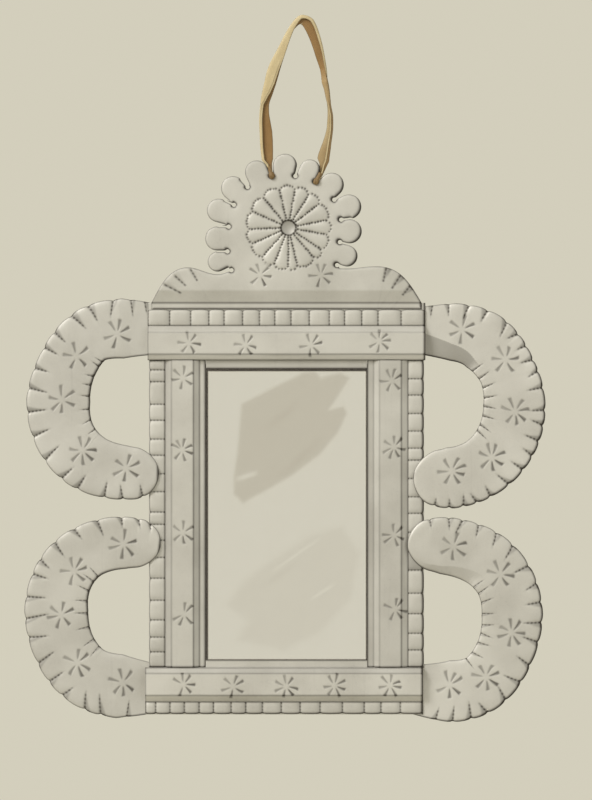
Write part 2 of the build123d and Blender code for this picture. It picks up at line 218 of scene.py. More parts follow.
def make_sheet(name, node, front, back, quads, dirt_and_painted_light, finish, slot="tinplate"):
    """One sheet from its front and back points, and the front's faces, closed at its rim."""
    count = len(front)
    sides = {}
    for face in quads:
        for start, end in zip(face, face[1:] + face[:1]):
            if (end, start) in sides:
                del sides[end, start]
            else:
                sides[start, end] = True
    faces = [tuple(face) for face in quads]
    faces += [tuple(count + corner for corner in reversed(face)) for face in quads]
    faces += [(end, start, count + start, count + end) for start, end in sides]
    # One reading carries the dirt and the painted shade; on the silvering it carries the painted
    # reflections and the painted shadow of the lips.
    readings = {"dirt_and_painted_light": np.concatenate([dirt_and_painted_light, BACK_DIRT_AND_SHADE * dirt_and_painted_light])}
    mesh = smooth_mesh(name, in_metres(np.concatenate([front, back])), faces, finish, readings)
    fit_piece(name, mesh, node)


def grid_sheet(name, node, points, relief, dirt_and_painted_light, finish, keep=None, thick=TIN, slot="tinplate"):
    """A thin piece from a grid of points of its front, pushed out by the relief."""
    front = points + upright_normals(points) * relief[..., None]
    back = front - upright_normals(front) * thick
    rows, columns = relief.shape
    index = np.arange(rows * columns).reshape(rows, columns)
    quads = np.stack([index[:-1, :-1], index[:-1, 1:], index[1:, 1:], index[1:, :-1]], axis=-1)
    quads = quads.reshape(-1, 4) if keep is None else quads[keep]
    surfaces = (front.reshape(-1, 3), back.reshape(-1, 3), quads.tolist())
    make_sheet(name, node, *surfaces, dirt_and_painted_light.clip(0, 1).ravel(), finish, slot)


STAR_START = 2.6  # from the middle of a star to the near end of each blow
STAR_LENGTH = 6.6
STAR_HOOK = 1.3
STAR_DEPTH = 0.5
STRUCK_DIRT_AND_SHADE = 0.95  # how dark a struck or scored mark shows: the dirt it holds, with the painted shade that the marks carry


def punch_star(across, up, star, size=1.0):
    """How deep the blows of one star go at these places, from 0 to 1."""
    place_x, place_z, blows = star
    aside, above = (across - place_x) / size, (up - place_z) / size
    depth = np.zeros_like(across)
    hand = np.random.default_rng(int(abs(place_x) * 31 + abs(place_z) * 17))
    for turn in blows:
        angle = radians(turn)
        # Blows that point down and to the right strike stronger, so their marks show darker: painted
        # shade on that side of each star.
        strength = hand.uniform(0.75, 1) * (0.82 + 0.2 * cos(angle + 0.45))
        length = STAR_LENGTH * hand.uniform(0.88, 1.1)
        tilt = hand.choice((-1, 1))
        run = (aside * cos(angle) + above * sin(angle) - STAR_START) / length
        side = above * cos(angle) - aside * sin(angle)
        side -= STAR_HOOK * tilt * hand.uniform(0.1, 0.8) * run.clip(0, 1.1) ** 3
        half = 0.5 + 0.8 * run.clip(0, 1)
        ends = (1 + np.tanh(9 * run)) * (1 + np.tanh(14 * (1 - run))) / 4
        heel = np.maximum(0.5 + 0.5 * np.tanh(1.6 * tilt * side / half), run.clip(0, 1) ** 3)
        mark = strength * ends * (0.6 + 0.45 * heel) * np.exp(-((side / half) ** 4))
        depth = np.maximum(depth, mark)
    return depth


def hand_worked(across, up, seed):
    """The slow waves and shallow dents of sheet that was flattened and bent by hand."""
    hand = np.random.default_rng(seed)
    rise = np.zeros_like(across)
    for _ in range(5):
        angle, size = hand.uniform(0, pi), hand.uniform(28, 70)
        run = across * cos(angle) + up * sin(angle)
        rise += 0.07 * np.cos(2 * pi * run / size + hand.uniform(0, 6))
    for _ in range(9):
        dent_x = hand.uniform(across.min(), across.max())
        dent_z = hand.uniform(up.min(), up.max())
        size = hand.uniform(4, 11)
        away = (across - dent_x) ** 2 + (up - dent_z) ** 2
        rise -= hand.uniform(-0.1, 0.16) * np.exp(-away / size**2)
    return rise


def soft_line(distance, width):
    """A mark that is 1 along a line and fades out to both sides of it."""
    return np.exp(-((distance / width) ** 2))


def fold_profile(corners, step=0.6):
    """Points along a bent strip's section, with its folds eased as a stake leaves them."""
    corners = np.array(corners, float)
    runs = np.linalg.norm(np.diff(corners, axis=0), axis=1)
    marks = np.concatenate([[0], np.cumsum(runs)])
    along = np.linspace(0, marks[-1], int(marks[-1] / step) + 1)
    section = np.stack([np.interp(along, marks, corners[:, k]) for k in (0, 1)], axis=1)
    for _ in range(2):
        section[1:-1] = (section[:-2] + 2 * section[1:-1] + section[2:]) / 4
    folds = np.zeros(len(along))
    for mark in marks[1:-1]:
        folds = np.maximum(folds, soft_line(along - mark, 0.7))
    return section, folds


def faces_down_right(across, up):
    """How far a way across the mirror points down and to the right, away from the light at the upper
    left, from -1 to 1.
    """
    return 0.85 * across - 0.55 * up


def edge_ways(outward, upright):
    """How far a strip's outer edge faces down and to the right, and how far its end does."""
    if upright:
        return faces_down_right(outward, 0), faces_down_right(0, 1)
    return faces_down_right(0, outward), faces_down_right(1, 0)


def rim_grime_and_shade(distance, facing):
    """A dark line along an edge: a fine line of grime, widened and darkened into painted shade where
    the edge faces down or to the right.
    """
    shade = np.clip(facing, 0, 1)
    return (0.6 + 0.44 * shade) * np.exp(-((distance / (0.6 + 1.2 * shade)) ** 3))


RAIL_STEP = 0.5  # how far apart the mesh's rows are along a rail or stile
RAIL_LIGHT = (0.725, 0.71, 0.66)
RAIL_DARK = (0.6, 0.583, 0.535)

# Each section goes from the lip outward: how far from the opening, and how far out from the wall.
TOP_SECTION = [(0, 4), (7, 4), (7, 7), (11.5, 9.5), (28.7, 9.5), (33.7, 4), (51.6, 4)]
BOTTOM_SECTION = [(0, 4), (6, 4), (6, 7), (10.5, 9.5), (27.7, 9.5), (32.7, 4), (42.5, 4)]
STILE_SECTION = [(0, 4), (5, 4), (9.5, 7), (26.7, 7), (31.7, 4), (44.3, 4)]

# Each star is its middle, across and up, and the ways that its blows point.
TOP_STARS = [
    (-76.2, 133.5, (100, 46, -2, -55, -124, 177)), (-31.9, 132.0, (104, 50, -8, -62, -128, 172)),
    (19.0, 132.0, (112, 52, 12, -42, -98, -167)), (72.3, 135.0, (90, 44, 8, -36, -92, -146, 140)),
]
BOTTOM_STARS = [
    (-80.4, -132.6, (97, 48, -2, -44, -105, 152)), (-41.6, -134.2, (72, 28, -35, -98, -158, 135)),
    (-0.2, -134.2, (98, 50, -7, -54, -107, -160, 158)),
    (37.5, -133.4, (125, 74, 24, -24, -62, -123, -168)),
    (80.7, -133.4, (135, 78, 27, -12, -56, -115, -168)),
]
LEFT_STARS = [
    (-80.8, 106.2, (78, 28, -37, -102, -166, 138)),
    (-81.3, 50.1, (118, 80, 30, -17, -78, -131, 147)),
    (-80.8, -14.4, (83, 33, -34, -88, -143, 148)), (-79.8, -77.9, (87, 50, -54, -110, -156)),
]
RIGHT_STARS = [
    (82.4, 104.3, (120, 81, 30, -52, -118, -172)),
    (83.9, 52.6, (88, 45, -18, -68, -114, -156, 152)),
    (83.9, -16.2, (99, 42, -22, -74, -142, 176)), (84.9, -73.9, (84, 50, -14, -58, -116, 160)),
]


def toned(colour, tone):
    """A colour made lighter or darker."""
    return tuple(tone * part for part in colour)


def frame_strip(name, section, inner_edge, outward, upright, stars, bevel_darkening, seed, tone=1.0):
    """A bent strip of the frame, as long as its solid is. Bevel darkening: how much darker its lip, its
    inner bevel and its outer bevel are.
    """
    left, right, low, high = reach(name)
    profile, folds = fold_profile(section)
    ends = (low, high) if upright else (left, right)
    along = np.linspace(*ends, round((ends[1] - ends[0]) / RAIL_STEP) + 1)
    sideways = inner_edge + outward * profile[:, 0]
    side_grid, run_grid = np.meshgrid(sideways, along, indexing="ij")
    across, up = (side_grid, run_grid) if upright else (run_grid, side_grid)
    out = np.repeat(profile[:, 1:], len(along), axis=1)
    points = np.stack([across, up, out], axis=-1)
    stamps = sum(punch_star(across, up, star) for star in stars)
    flat = np.repeat((profile[:, 1:] > profile[:, 1].max() - 0.4), len(along), axis=1)
    relief = 0.8 * hand_worked(across, up, seed) * flat - STAR_DEPTH * stamps
    face_start, face_end = section[-4][0], section[-3][0]
    outer = profile[:, 0] > (face_start + face_end) / 2
    out_way, end_way = edge_ways(outward, upright)
    shade = np.where(outer, out_way, -out_way).clip(0, 1)
    # Struck marks hold dirt. The folds get dark lines, with painted shade added on folds that face down
    # or to the right.
    dirt_and_painted_light = STRUCK_DIRT_AND_SHADE * stamps + ((0.36 + 0.34 * shade) * folds)[:, None]
    # Grime and painted shade at the strip's ends.
    dirt_and_painted_light += rim_grime_and_shade(run_grid - ends[0], -end_way) + rim_grime_and_shade(ends[1] - run_grid, end_way)
    # A dark line along the lip's edge: painted shadow, wider where the edge faces down or to the right.
    dirt_and_painted_light += 0.95 * soft_line(side_grid - sideways[0], 0.8 + 0.6 * max(0, -out_way))
    lip_darkening, inner_darkening, outer_darkening = bevel_darkening
    lip_end = section[1][0]
    dirt_and_painted_light += (lip_darkening * (profile[:, 0] < lip_end))[:, None]
    dirt_and_painted_light += (inner_darkening * ((profile[:, 0] > lip_end) & (profile[:, 0] < face_start)))[:, None]
    dirt_and_painted_light += (outer_darkening * (profile[:, 0] > face_end))[:, None]
    keep = None
    if not upright:
        middle = (profile[:-1, 0] + profile[1:, 0]) / 2
        centre = (along[:-1] + along[1:]) / 2
        behind_stile = abs(centre[None, :]) > -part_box("left_stile")[1].x / MM
        keep = ~((middle[:, None] < lip_end - 0.3) & behind_stile)
    finish = tinplate(f"{name}_tin", toned(RAIL_LIGHT, tone), toned(RAIL_DARK, tone), seed)
    grid_sheet(name + "_sheet", name, points, relief, dirt_and_painted_light, finish, keep)


opening_side = -reach("left_stile")[1]
opening_top = reach("top_rail")[2]
opening_foot = reach("bottom_rail")[3]
frame_strip(
    "top_rail", TOP_SECTION, opening_top, outward=1, upright=False, stars=TOP_STARS,
    bevel_darkening=(0.14, 0, 0), seed=1,
)
frame_strip(
    "bottom_rail", BOTTOM_SECTION, opening_foot, outward=-1, upright=False, stars=BOTTOM_STARS,
    bevel_darkening=(0.06, 0.24, 0), seed=2, tone=1.07,
)
frame_strip(
    "left_stile", STILE_SECTION, -opening_side, outward=-1, upright=True, stars=LEFT_STARS,
    bevel_darkening=(0.04, 0.08, 0.18), seed=3,
)
frame_strip(
    "right_stile", STILE_SECTION, opening_side, outward=1, upright=True, stars=RIGHT_STARS,
    bevel_darkening=(0.12, 0.03, 0), seed=4,
)


# The edging strips: narrow strips of the same tin, scored across with a blunt chisel so that the
# metal swells up between the lines, and sweated to the flanges of the rails and stiles with
# their swollen edge outward.

PILLOW_BASE = 4.5
PILLOW_RISE = 0.9
STRIP_STEP = 0.45
STRIP_LIGHT = (0.72, 0.705, 0.655)
STRIP_DARK = (0.59, 0.573, 0.525)

# Where each strip is scored across, as a place along it.
TOP_SCORES = [
    -91.1, -74.7, -60.5, -48.6, -34.2, -21.0, -9.0, 3.6, 17.8, 33.5, 45.4, 58.8, 71.5, 89.5,
]
BOTTOM_SCORES = [
    -102, -90.8, -79.6, -68.1, -56.9, -43.1, -31.7, -18.7, -4.0, 10.7, 26.3, 43.7, 60.7, 73.8, 88.9,
]
LEFT_SCORES = [
    -107.3, -95.8, -82.4, -67.0, -49.8, -33.6, -20.2, -7.8, 1.8, 17.7, 31.7, 46.1, 58.7, 73.4,
    85.9, 103.5, 112.7,
]
RIGHT_SCORES = [
    -105.8, -92.8, -77.5, -61.5, -43.6, -29.0, -14.0, 0.8, 13.7, 28.0, 42.3, 51.6, 65.0, 78.7,
    93.1, 105.8,
]


def edging_strip(name, outward, upright, scores, seed, tip_shadow_run=(0, 0)):
    """A scored strip: rows go from its inner edge outward, columns along it. Painted shade lies on one
    side of each pillow, and a painted shadow where a scroll's tip overhangs it.
    """
    left, right, low, high = reach(name)
    ends = (low, high) if upright else (left, right)
    sides = (left, right) if upright else (low, high)
    inner, outer = sides if outward > 0 else sides[::-1]
    marks = np.array([ends[0], *scores, ends[1]])
    width = abs(outer - inner)
    along = np.linspace(*ends, round((ends[1] - ends[0]) / STRIP_STEP) + 1)
    share = np.linspace(0, 1, round(width / STRIP_STEP) + 1)
    pillow = np.searchsorted(marks, along, side="right").clip(1, len(marks) - 1)
    place = (along - marks[pillow - 1]) / (marks[pillow] - marks[pillow - 1])
    swell = 1 - abs(2 * place - 1) ** 3.5
    arch = (1 - abs(2 * share - 1) ** 3).clip(0, 1)
    hand = np.random.default_rng(seed)
    strength = hand.uniform(0.8, 1, len(marks))[pillow]
    out = PILLOW_BASE + PILLOW_RISE * strength * swell * arch[:, None]
    waist = 0.9 * (1 - swell)
    side_grid = inner + (outer - inner) * share[:, None] - outward * waist * share[:, None] ** 2
    run_grid = np.repeat(along[None, :], len(share), axis=0)
    across, up = (side_grid, run_grid) if upright else (run_grid, side_grid)
    points = np.stack([across, up, out], axis=-1)
    to_score = abs(along[:, None] - marks[None, :]).min(axis=1)
    dashes = 0.72 + 0.28 * np.sin(2 * pi * abs(side_grid - inner) / 2.6 + seed)
    dirt_and_painted_light = 0.85 * soft_line(to_score, 0.6) * dashes
    out_way, end_way = edge_ways(outward, upright)
    # Grime and painted shade along the edges and ends.
    dirt_and_painted_light = dirt_and_painted_light + 0.7 * rim_grime_and_shade(share * width, -0.3 * out_way)[:, None]
    dirt_and_painted_light = dirt_and_painted_light + rim_grime_and_shade((1 - share) * width, out_way)[:, None]
    dirt_and_painted_light = dirt_and_painted_light + rim_grime_and_shade(along - ends[0], -end_way) + rim_grime_and_shade(ends[1] - along, end_way)
    # Painted shade on one side of each pillow, fading from the score beside it.
    before = (along - marks[pillow - 1]) if upright else (marks[pillow] - along)
    dirt_and_painted_light = dirt_and_painted_light + (0.14 if upright else 0.3) * np.exp(-before / 2.2)
    # A painted shadow on the run that a scroll's tip overhangs.
    dirt_and_painted_light = dirt_and_painted_light + 0.32 * ((along > tip_shadow_run[0]) & (along < tip_shadow_run[1]))
    finish = tinplate(f"{name}_tin", STRIP_LIGHT, STRIP_DARK, seed)
    grid_sheet(name + "_sheet", name, points, 0 * dirt_and_painted_light, dirt_and_painted_light, finish)


edging_strip("top_scored_strip", 1, upright=False, scores=TOP_SCORES, seed=11)
edging_strip("bottom_scored_strip", -1, upright=False, scores=BOTTOM_SCORES, seed=12)
edging_strip("left_scored_strip", -1, upright=True, scores=LEFT_SCORES, seed=13)
edging_strip(
    "right_scored_strip", 1, upright=True, scores=RIGHT_SCORES, seed=14, tip_shadow_run=(-43.6, -29),
)


# The mirror glass: a pane of old sheet glass that lies behind the lips of the frame. Painted on
# the silvering on its back are the reflections the mirror shows, two soft patches and slanting
# streaks, and a black line along the lips that is a painted shadow of the frame.


def finish_solid(node, finish):
    """Give its finish to a solid that shows as it is."""
    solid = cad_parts[node].data
    solid.materials.clear()
    solid.materials.append(finish)


glass, glass_tree, pane_shader = new_finish("old_sheet_glass")
pane_shader.inputs["Base Color"].default_value = (1, 0.99, 1, 1)
pane_shader.inputs["Roughness"].default_value = 0.02
pane_shader.inputs["IOR"].default_value = 1.45
pane_shader.inputs["Transmission Weight"].default_value = 1
waves = noise(glass_tree, surface_place(glass_tree), 14)
glass_tree.links.new(bumps(glass_tree, waves, 0.05, 0.001), pane_shader.inputs["Normal"])
finish_solid("mirror_glass", glass)

# The outlines of the painted reflection patches, and the reflected streaks: each one's two ends and its
# half width.
REFLECTED_PATCH = [
    (-35, 86), (-11, 98.5), (13, 110.5), (22, 111.5), (27, 106.5), (42, 110.5), (49, 106.5),
    (42, 95.5), (33, 81.5), (44.5, 84), (47, 79), (40, 64), (26, 47), (4, 30.5), (-14, 20),
    (-34, 9), (-41, 16), (-41, 30), (-38, 50),
]
FAINT_REFLECTED_PATCH = [
    (-47, -71), (-33, -52), (-11, -36), (18, -17), (43, -10), (57, -30), (50, -66), (26, -92),
    (-2, -106), (-38, -98), (-30, -84),
]
BRIGHT_REFLECTED_STREAKS = [((-12, -45), (27, -18), 1.1), ((18, -67), (38, -54), 1.3), ((-40, 27), (-22, 33), 2.2)]
DARK_REFLECTED_STREAKS = [((-20, 62), (12, 90), 3.5), ((-8, 26), (30, 62), 3), ((-24, -60), (14, -34), 2.4)]


def to_segment(across, up, start, end):
    """How far each place is from a straight line between two points, and how far along it."""
    run = np.subtract(end, start)
    share = ((across - start[0]) * run[0] + (up - start[1]) * run[1]) / run.dot(run)
    share = share.clip(0, 1)
    return np.hypot(across - start[0] - share * run[0], up - start[1] - share * run[1]), share


def patch(across, up, outline, soft):
    """A patch inside an outline, from 0 to 1, soft at its edge."""
    inside = np.zeros(across.shape, bool)
    away = np.full(across.shape, np.inf)
    for start, end in zip(outline, outline[1:] + outline[:1]):
        away = np.minimum(away, to_segment(across, up, start, end)[0])
        level = start[0] + (end[0] - start[0]) * (up - start[1]) / (end[1] - start[1])
        inside ^= ((start[1] > up) != (end[1] > up)) & (across < level)
    return 0.5 + 0.5 * np.tanh(np.where(inside, away, -away) / soft)


def reflected_patches(across, up):
    """How dark the silvering is painted: two patches and slanting streaks of painted reflection."""
    reflection_tone = 0.78 * patch(across, up, REFLECTED_PATCH, 1.3) + 0.28 * patch(across, up, FAINT_REFLECTED_PATCH, 3)
    for start, end, half in DARK_REFLECTED_STREAKS:
        away, share = to_segment(across, up, start, end)
        reflection_tone += 0.12 * soft_line(away, half) * np.sin(pi * share)
    for start, end, half in BRIGHT_REFLECTED_STREAKS:
        away, share = to_segment(across, up, start, end)
        reflection_tone *= 1 - 0.9 * soft_line(away, half) * np.sin(pi * share) ** 0.5
    return reflection_tone


def lip_shadow_line(distance, width):
    """The black line along a lip: a painted shadow of the frame on the glass."""
    return 0.5 + 0.5 * np.tanh((width - distance) / 0.35)


SILVER_GAP = 0.03
SILVER_THICK = 0.05
SILVER_STEP = 1.1
EDGE_STEP = 0.3
EDGE_REACH = 3
silver_left, silver_right, silver_low, silver_high = reach("silvering")
silver_out = -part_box("silvering")[0].y / MM - SILVER_GAP


def close_rows(low, high, *edges):
    """Rows of points a little over a millimetre apart, and much closer beside the edges."""
    rows = [np.linspace(low, high, round((high - low) / SILVER_STEP))]
    rows += [np.arange(edge - EDGE_REACH, edge + EDGE_REACH, EDGE_STEP) for edge in edges]
    return np.unique(np.concatenate(rows).round(3))


silver_up, silver_across = np.meshgrid(
    close_rows(silver_low, silver_high, opening_foot, opening_top),
    close_rows(silver_left, silver_right, -opening_side, opening_side), indexing="ij",
)
silver_points = np.stack([silver_across, silver_up, np.full_like(silver_up, silver_out)], axis=-1)
mirror_finish, silver_tree, silver_shader = new_finish("old_silvering")
silver_shader.inputs["Metallic"].default_value = 1
# The mesh's reading holds the painted reflections and the painted shadow of the lips.
painted_light_read = reading(silver_tree, "dirt_and_painted_light")
mottle = noise(silver_tree, surface_place(silver_tree), 60, 6)
silver_tone = silver_tree.nodes.new("ShaderNodeValToRGB")
silver_tone.color_ramp.elements[0].color = (0.98, 1, 1, 1)
silver_tone.color_ramp.elements[1].color = (0.06, 0.05, 0.045, 1)
middle_tone = silver_tone.color_ramp.elements.new(0.5)
middle_tone.color = (0.76, 0.75, 0.715, 1)
painted_light_share = reckon(silver_tree, "MULTIPLY_ADD", mottle, 0.05, painted_light_read)
silver_tree.links.new(painted_light_share, silver_tone.inputs[0])
silver_tree.links.new(silver_tone.outputs[0], silver_shader.inputs["Base Color"])
silver_rough = reckon(silver_tree, "MULTIPLY_ADD", painted_light_read, 0.12, 0.03)
silver_tree.links.new(silver_rough, silver_shader.inputs["Roughness"])
silver_painted_light = reflected_patches(silver_across, silver_up) / 2
# The painted shadow of the lips: widest along the left and top lips, as light from the upper left would
# cast it.
for distance, width in (
    (silver_across + opening_side, 1.9), (opening_side - silver_across, 1.1),
    (opening_top - silver_up, 1.9), (silver_up - opening_foot, 0.5),
):
    silver_painted_light = np.maximum(silver_painted_light, lip_shadow_line(distance, width))
grid_sheet(
    "silvering_layer", "silvering", silver_points, 0 * silver_painted_light, silver_painted_light, mirror_finish,
    thick=SILVER_THICK, slot="silvering",
)


# The back: a brown card keeps the glass from rattling, and a shallow tin pan is pushed over both
# and tacked with solder to the lips of the frame. Solder also holds the ends of the stiles, the
# foot of the crest and the scrolls.

card, card_tree, card_shader = new_finish("brown_card")
card_shader.inputs["Roughness"].default_value = 0.9
pulp = noise(card_tree, surface_place(card_tree), 380, 6)
card_brown = mix(card_tree, pulp, (0.27, 0.18, 0.1), (0.4, 0.29, 0.17))
card_tree.links.new(card_brown, card_shader.inputs["Base Color"])
card_tree.links.new(bumps(card_tree, pulp, 1, 0.0001), card_shader.inputs["Normal"])
finish_solid("backing_card", card)
finish_solid("back_plate", tinplate("back_plate_tin", (0.62, 0.6, 0.54), (0.42, 0.4, 0.35), 21))

solder = tinplate("dull_solder", (0.42, 0.42, 0.41), (0.26, 0.26, 0.25), 31)
BEAD_SWELL = 1.12


def solder_beads(node):
    """Every bead of a solder node as a rounded, puddled lump in the place of its solid."""
    solids = bmesh.new()
    solids.from_mesh(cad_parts[node].data)
    bmesh.ops.remove_doubles(solids, verts=solids.verts, dist=1e-6)
    waiting = dict.fromkeys(solids.verts)
    lumps = bmesh.new()
    hand = np.random.default_rng(len(node))
    while waiting:
        bead, onward = [], [waiting.popitem()[0]]
        while onward:
            corner = onward.pop()
            bead.append(np.array(corner.co))
            for edge in corner.link_edges:
                other = edge.other_vert(corner)
                if other in waiting:
                    del waiting[other]
                    onward.append(other)
        low, high = np.min(bead, axis=0), np.max(bead, axis=0)
        centre, half = (low + high) / 2, (high - low) / 2
        lump = bmesh.ops.create_icosphere(lumps, subdivisions=3, radius=1)["verts"]
        phase = hand.uniform(0, 6, 3)
        for point in lump:
            across, out, up = point.co
            ripple = 1 + 0.07 * sin(5 * across + phase[0]) * sin(4 * up + phase[1])
            ripple += 0.05 * sin(9 * up + phase[2])
            point.co = Vector(centre + BEAD_SWELL * ripple * half * np.array((across, out, up)))
    solids.free()
    mesh = bpy.data.meshes.new(node)
    lumps.to_mesh(mesh)
    lumps.free()
    mesh.polygons.foreach_set("use_smooth", [True] * len(mesh.polygons))
    mesh.materials.append(solder)
    fit_piece(node.replace("_solder", "_beads"), mesh, node)


for seam in ("corner_solder", "back_plate_solder", "crest_solder", "scroll_solder"):
    solder_beads(seam)


# The crest: one sheet of tin, parted into eleven lobes by twelve snips that end in round holes,
# bent back along its foot, and worked from behind into a rosette of sixteen petals. Rows of
# punched dots part the petals, and a shallow dish is punched into the middle.

CREST_BASE = 165.1
FOOT_FRONT = 4.5
CREST_FRONT = 8.0
CREST_BEVEL = 9.6
ROSETTE = (1.5, 223.6)
ROSETTE_RADIUS = 32.6
PETAL_LINES = [
    -178, -156, -132, -111.4, -90, -76.7, -49.7, -33.4, -9.9, 11.1, 38, 58.6, 80.2, 103.3, 129.7, 155.5,
]
PETAL_RISE = 1.05
DISH_RADIUS = 5.9
DISH_DEPTH = 2.0
DOT_RADIUS = 0.82
DOT_PITCH = 2.25
DOT_DEPTH = 0.5
CREST_DARK = (0.595, 0.58, 0.53)
STAR_REACH = 11
CREST_STARS = [
    (-20.5, 186.5, (104, 45, -9, -65, -134, 145)), (26.8, 186.5, (107, 70, 13, -39, -105, -174)),
]

# The round eye at the bottom of each notch, across and up from the bend.
NOTCH_EYES = [
    (-42.9, 25.4), (-46, 40.1), (-45.1, 59.4), (-41, 76.4), (-30.3, 90.3), (-11.5, 98.8),
    (7, 98.8), (22.9, 94.3), (37.3, 80.4), (42.7, 64.8), (41.7, 47.3), (39.5, 29.4),
]
EYE_RADIUS = 1.7

# The folds in the shoulders: each one's end at the rim and its end in the sheet.
SHOULDER_FOLDS = [
    ((-74.7, 190.9), (-69.5, 182.1)), ((-86.7, 185.7), (-78.5, 178.3)),
    ((-94.8, 179.0), (-82.2, 172.6)), ((77.5, 191.7), (75.3, 181.3)),
    ((88.7, 186.5), (82.0, 176.0)), ((96.2, 178.3), (90.2, 170.8)),
]

# How far apart the mesh's points are: along the rim, from the rim to the first ones inside it,
# in the plain sheet, and in the rosette and the stars, which lie within these ends.
RIM_STEP = 0.6
RIM_CLEAR = 0.4
PLAIN_STEP = 0.75
STRUCK_STEP = 0.42
STRUCK_ACROSS = (-36, 39)
STRUCK_UP = (174, 260)


def cut_rim(node):
    """The outline of a flat piece, in order, from the edges where its front meets its cut sides."""
    solid = bmesh.new()
    solid.from_mesh(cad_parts[node].data)
    bmesh.ops.remove_doubles(solid, verts=solid.verts, dist=1e-6)
    solid.normal_update()
    joined = {}
    for edge in solid.edges:
        facing = [abs(face.normal.y) > 0.5 and face.normal.y < 0 for face in edge.link_faces]
        walls = [abs(face.normal.y) < 0.3 for face in edge.link_faces]
        if len(facing) == 2 and any(facing) and any(walls):
            start, end = edge.verts
            joined.setdefault(start, []).append(end)
            joined.setdefault(end, []).append(start)
    loops = []
    left = dict.fromkeys(joined)
    while left:
        loop = []
        onward = [next(iter(left))]
        while onward:
            corner = onward[0]
            del left[corner]
            loop.append(corner)
            onward = [other for other in joined[corner] if other in left]
        loops.append([(point.co.x / MM, point.co.z / MM) for point in loop])
    solid.free()
    return max(loops, key=len)


def petal_places(across, up):
    """How far across its petal each place is, from 0 to 1, and how far out."""
    aside, above = across - ROSETTE[0], up - ROSETTE[1]
    out = np.hypot(aside, above)
    angle = (np.degrees(np.arctan2(above, aside)) + 178) % 360
    starts = np.array(PETAL_LINES) + 178
    petal = np.searchsorted(starts, angle, side="right") - 1
    ends = np.append(starts[1:], 360)
    return (angle - starts[petal]) / (ends[petal] - starts[petal]), out


def petal_end(share):
    """How far out the round end of a petal reaches."""
    return ROSETTE_RADIUS * (0.915 + 0.085 * (1 - abs(2 * share - 1) ** 2.2))


def rosette_dots():
    """Where the punch was struck: along the lines between petals, round their ends and the dish."""
    dots = []
    for line in PETAL_LINES:
        for out in np.arange(DISH_RADIUS + 1.8, 0.925 * ROSETTE_RADIUS, DOT_PITCH):
            dots.append((out, radians(line)))
    ends = [*PETAL_LINES[1:], PETAL_LINES[0] + 360]
    for start, end in zip(PETAL_LINES, ends):
        count = max(3, round(radians(end - start) * ROSETTE_RADIUS / DOT_PITCH))
        for share in np.arange(count) / count:
            dots.append((petal_end(share) + 0.5, radians(start + share * (end - start))))
    for turn in np.arange(0, 360, 22.5):
        dots.append((DISH_RADIUS + 0.3, radians(turn)))
    hand = np.random.default_rng(7)
    places = np.array([(out * cos(turn), out * sin(turn)) for out, turn in dots])
    return places + ROSETTE + hand.normal(0, 0.2, places.shape)


def nearest(places, targets):
    """Which of the targets is nearest to each place, and how far it is."""
    tree = kdtree.KDTree(len(targets))
    for number, (across, up) in enumerate(targets):
        tree.insert((across, up, 0), number)
    tree.balance()
    found = [tree.find((across, up, 0))[1:] for across, up in places]
    which, away = zip(*found)
    return np.array(which), np.array(away)


def within(places, middle, radius):
    """Which places lie inside a circle."""
    return np.hypot(*(places - middle).T) < radius


def lattice(across_ends, up_ends, step):
    """Places in rows and columns, a step apart."""
    columns, rows = np.arange(*across_ends, step), np.arange(*up_ends, step)
    return np.stack(np.meshgrid(columns, rows), axis=-1).reshape(-1, 2)


rim = []
crest_rim = cut_rim("crest_plate")
for start, end in zip(crest_rim, crest_rim[1:] + crest_rim[:1]):
    run = np.subtract(end, start)
    cuts = max(1, round(np.hypot(*run) / RIM_STEP))
    rim += [start + run * cut / cuts for cut in range(cuts)]
rim = np.array(rim)
above_foot = rim[:, 1:] > CREST_BASE + CREST_BEVEL
for _ in range(5):
    eased = (np.roll(rim, 1, axis=0) + 2 * rim + np.roll(rim, -1, axis=0)) / 4
    rim = np.where(above_foot, eased, rim)
crest_left, crest_right, crest_low, crest_high = reach("crest_plate")
coarse = lattice((crest_left, crest_right), (crest_low, crest_high), PLAIN_STEP)
fine = lattice(STRUCK_ACROSS, STRUCK_UP, STRUCK_STEP)
petals = (ROSETTE, ROSETTE_RADIUS + 2)
inner = np.concatenate([coarse[~within(coarse, *petals)], fine[within(fine, *petals)]])
for star in CREST_STARS:
    field = (star[:2], STAR_REACH)
    close = within(fine, *field) & ~within(fine, *petals)
    inner = np.concatenate([inner[~within(inner, *field)], fine[close]])
inner = inner[nearest(inner, rim)[1] > RIM_CLEAR]
count = len(rim)
cut_edges = [(number, (number + 1) % count) for number in range(count)]
points, _, faces, *_ = delaunay_2d_cdt(
    [Vector(place) for place in rim] + [Vector(place) for place in inner],
    cut_edges, [list(range(count))], 1, 1e-5,
)
plan = np.array([tuple(point) for point in points])
crest_across, crest_up = plan.T
rim_at, to_rim = nearest(plan, rim)
rim_run = np.roll(rim, -2, axis=0) - np.roll(rim, 2, axis=0)
rim_run /= np.linalg.norm(rim_run, axis=1, keepdims=True)
rim_area = np.sum(rim[:, 0] * np.roll(rim[:, 1], -1) - rim[:, 1] * np.roll(rim[:, 0], -1))
rim_facing = np.sign(rim_area) * faces_down_right(rim_run[:, 1], -rim_run[:, 0])
above_base = crest_up - CREST_BASE
rise = (above_base / CREST_BEVEL).clip(0, 1)
crest_out = FOOT_FRONT + (CREST_FRONT - FOOT_FRONT) * rise
# A dark line along the bend of the foot, and grime and painted shade at the rim.
crest_dirt_and_shade = 0.75 * soft_line(above_base, 0.7) + rim_grime_and_shade(to_rim, rim_facing[rim_at])
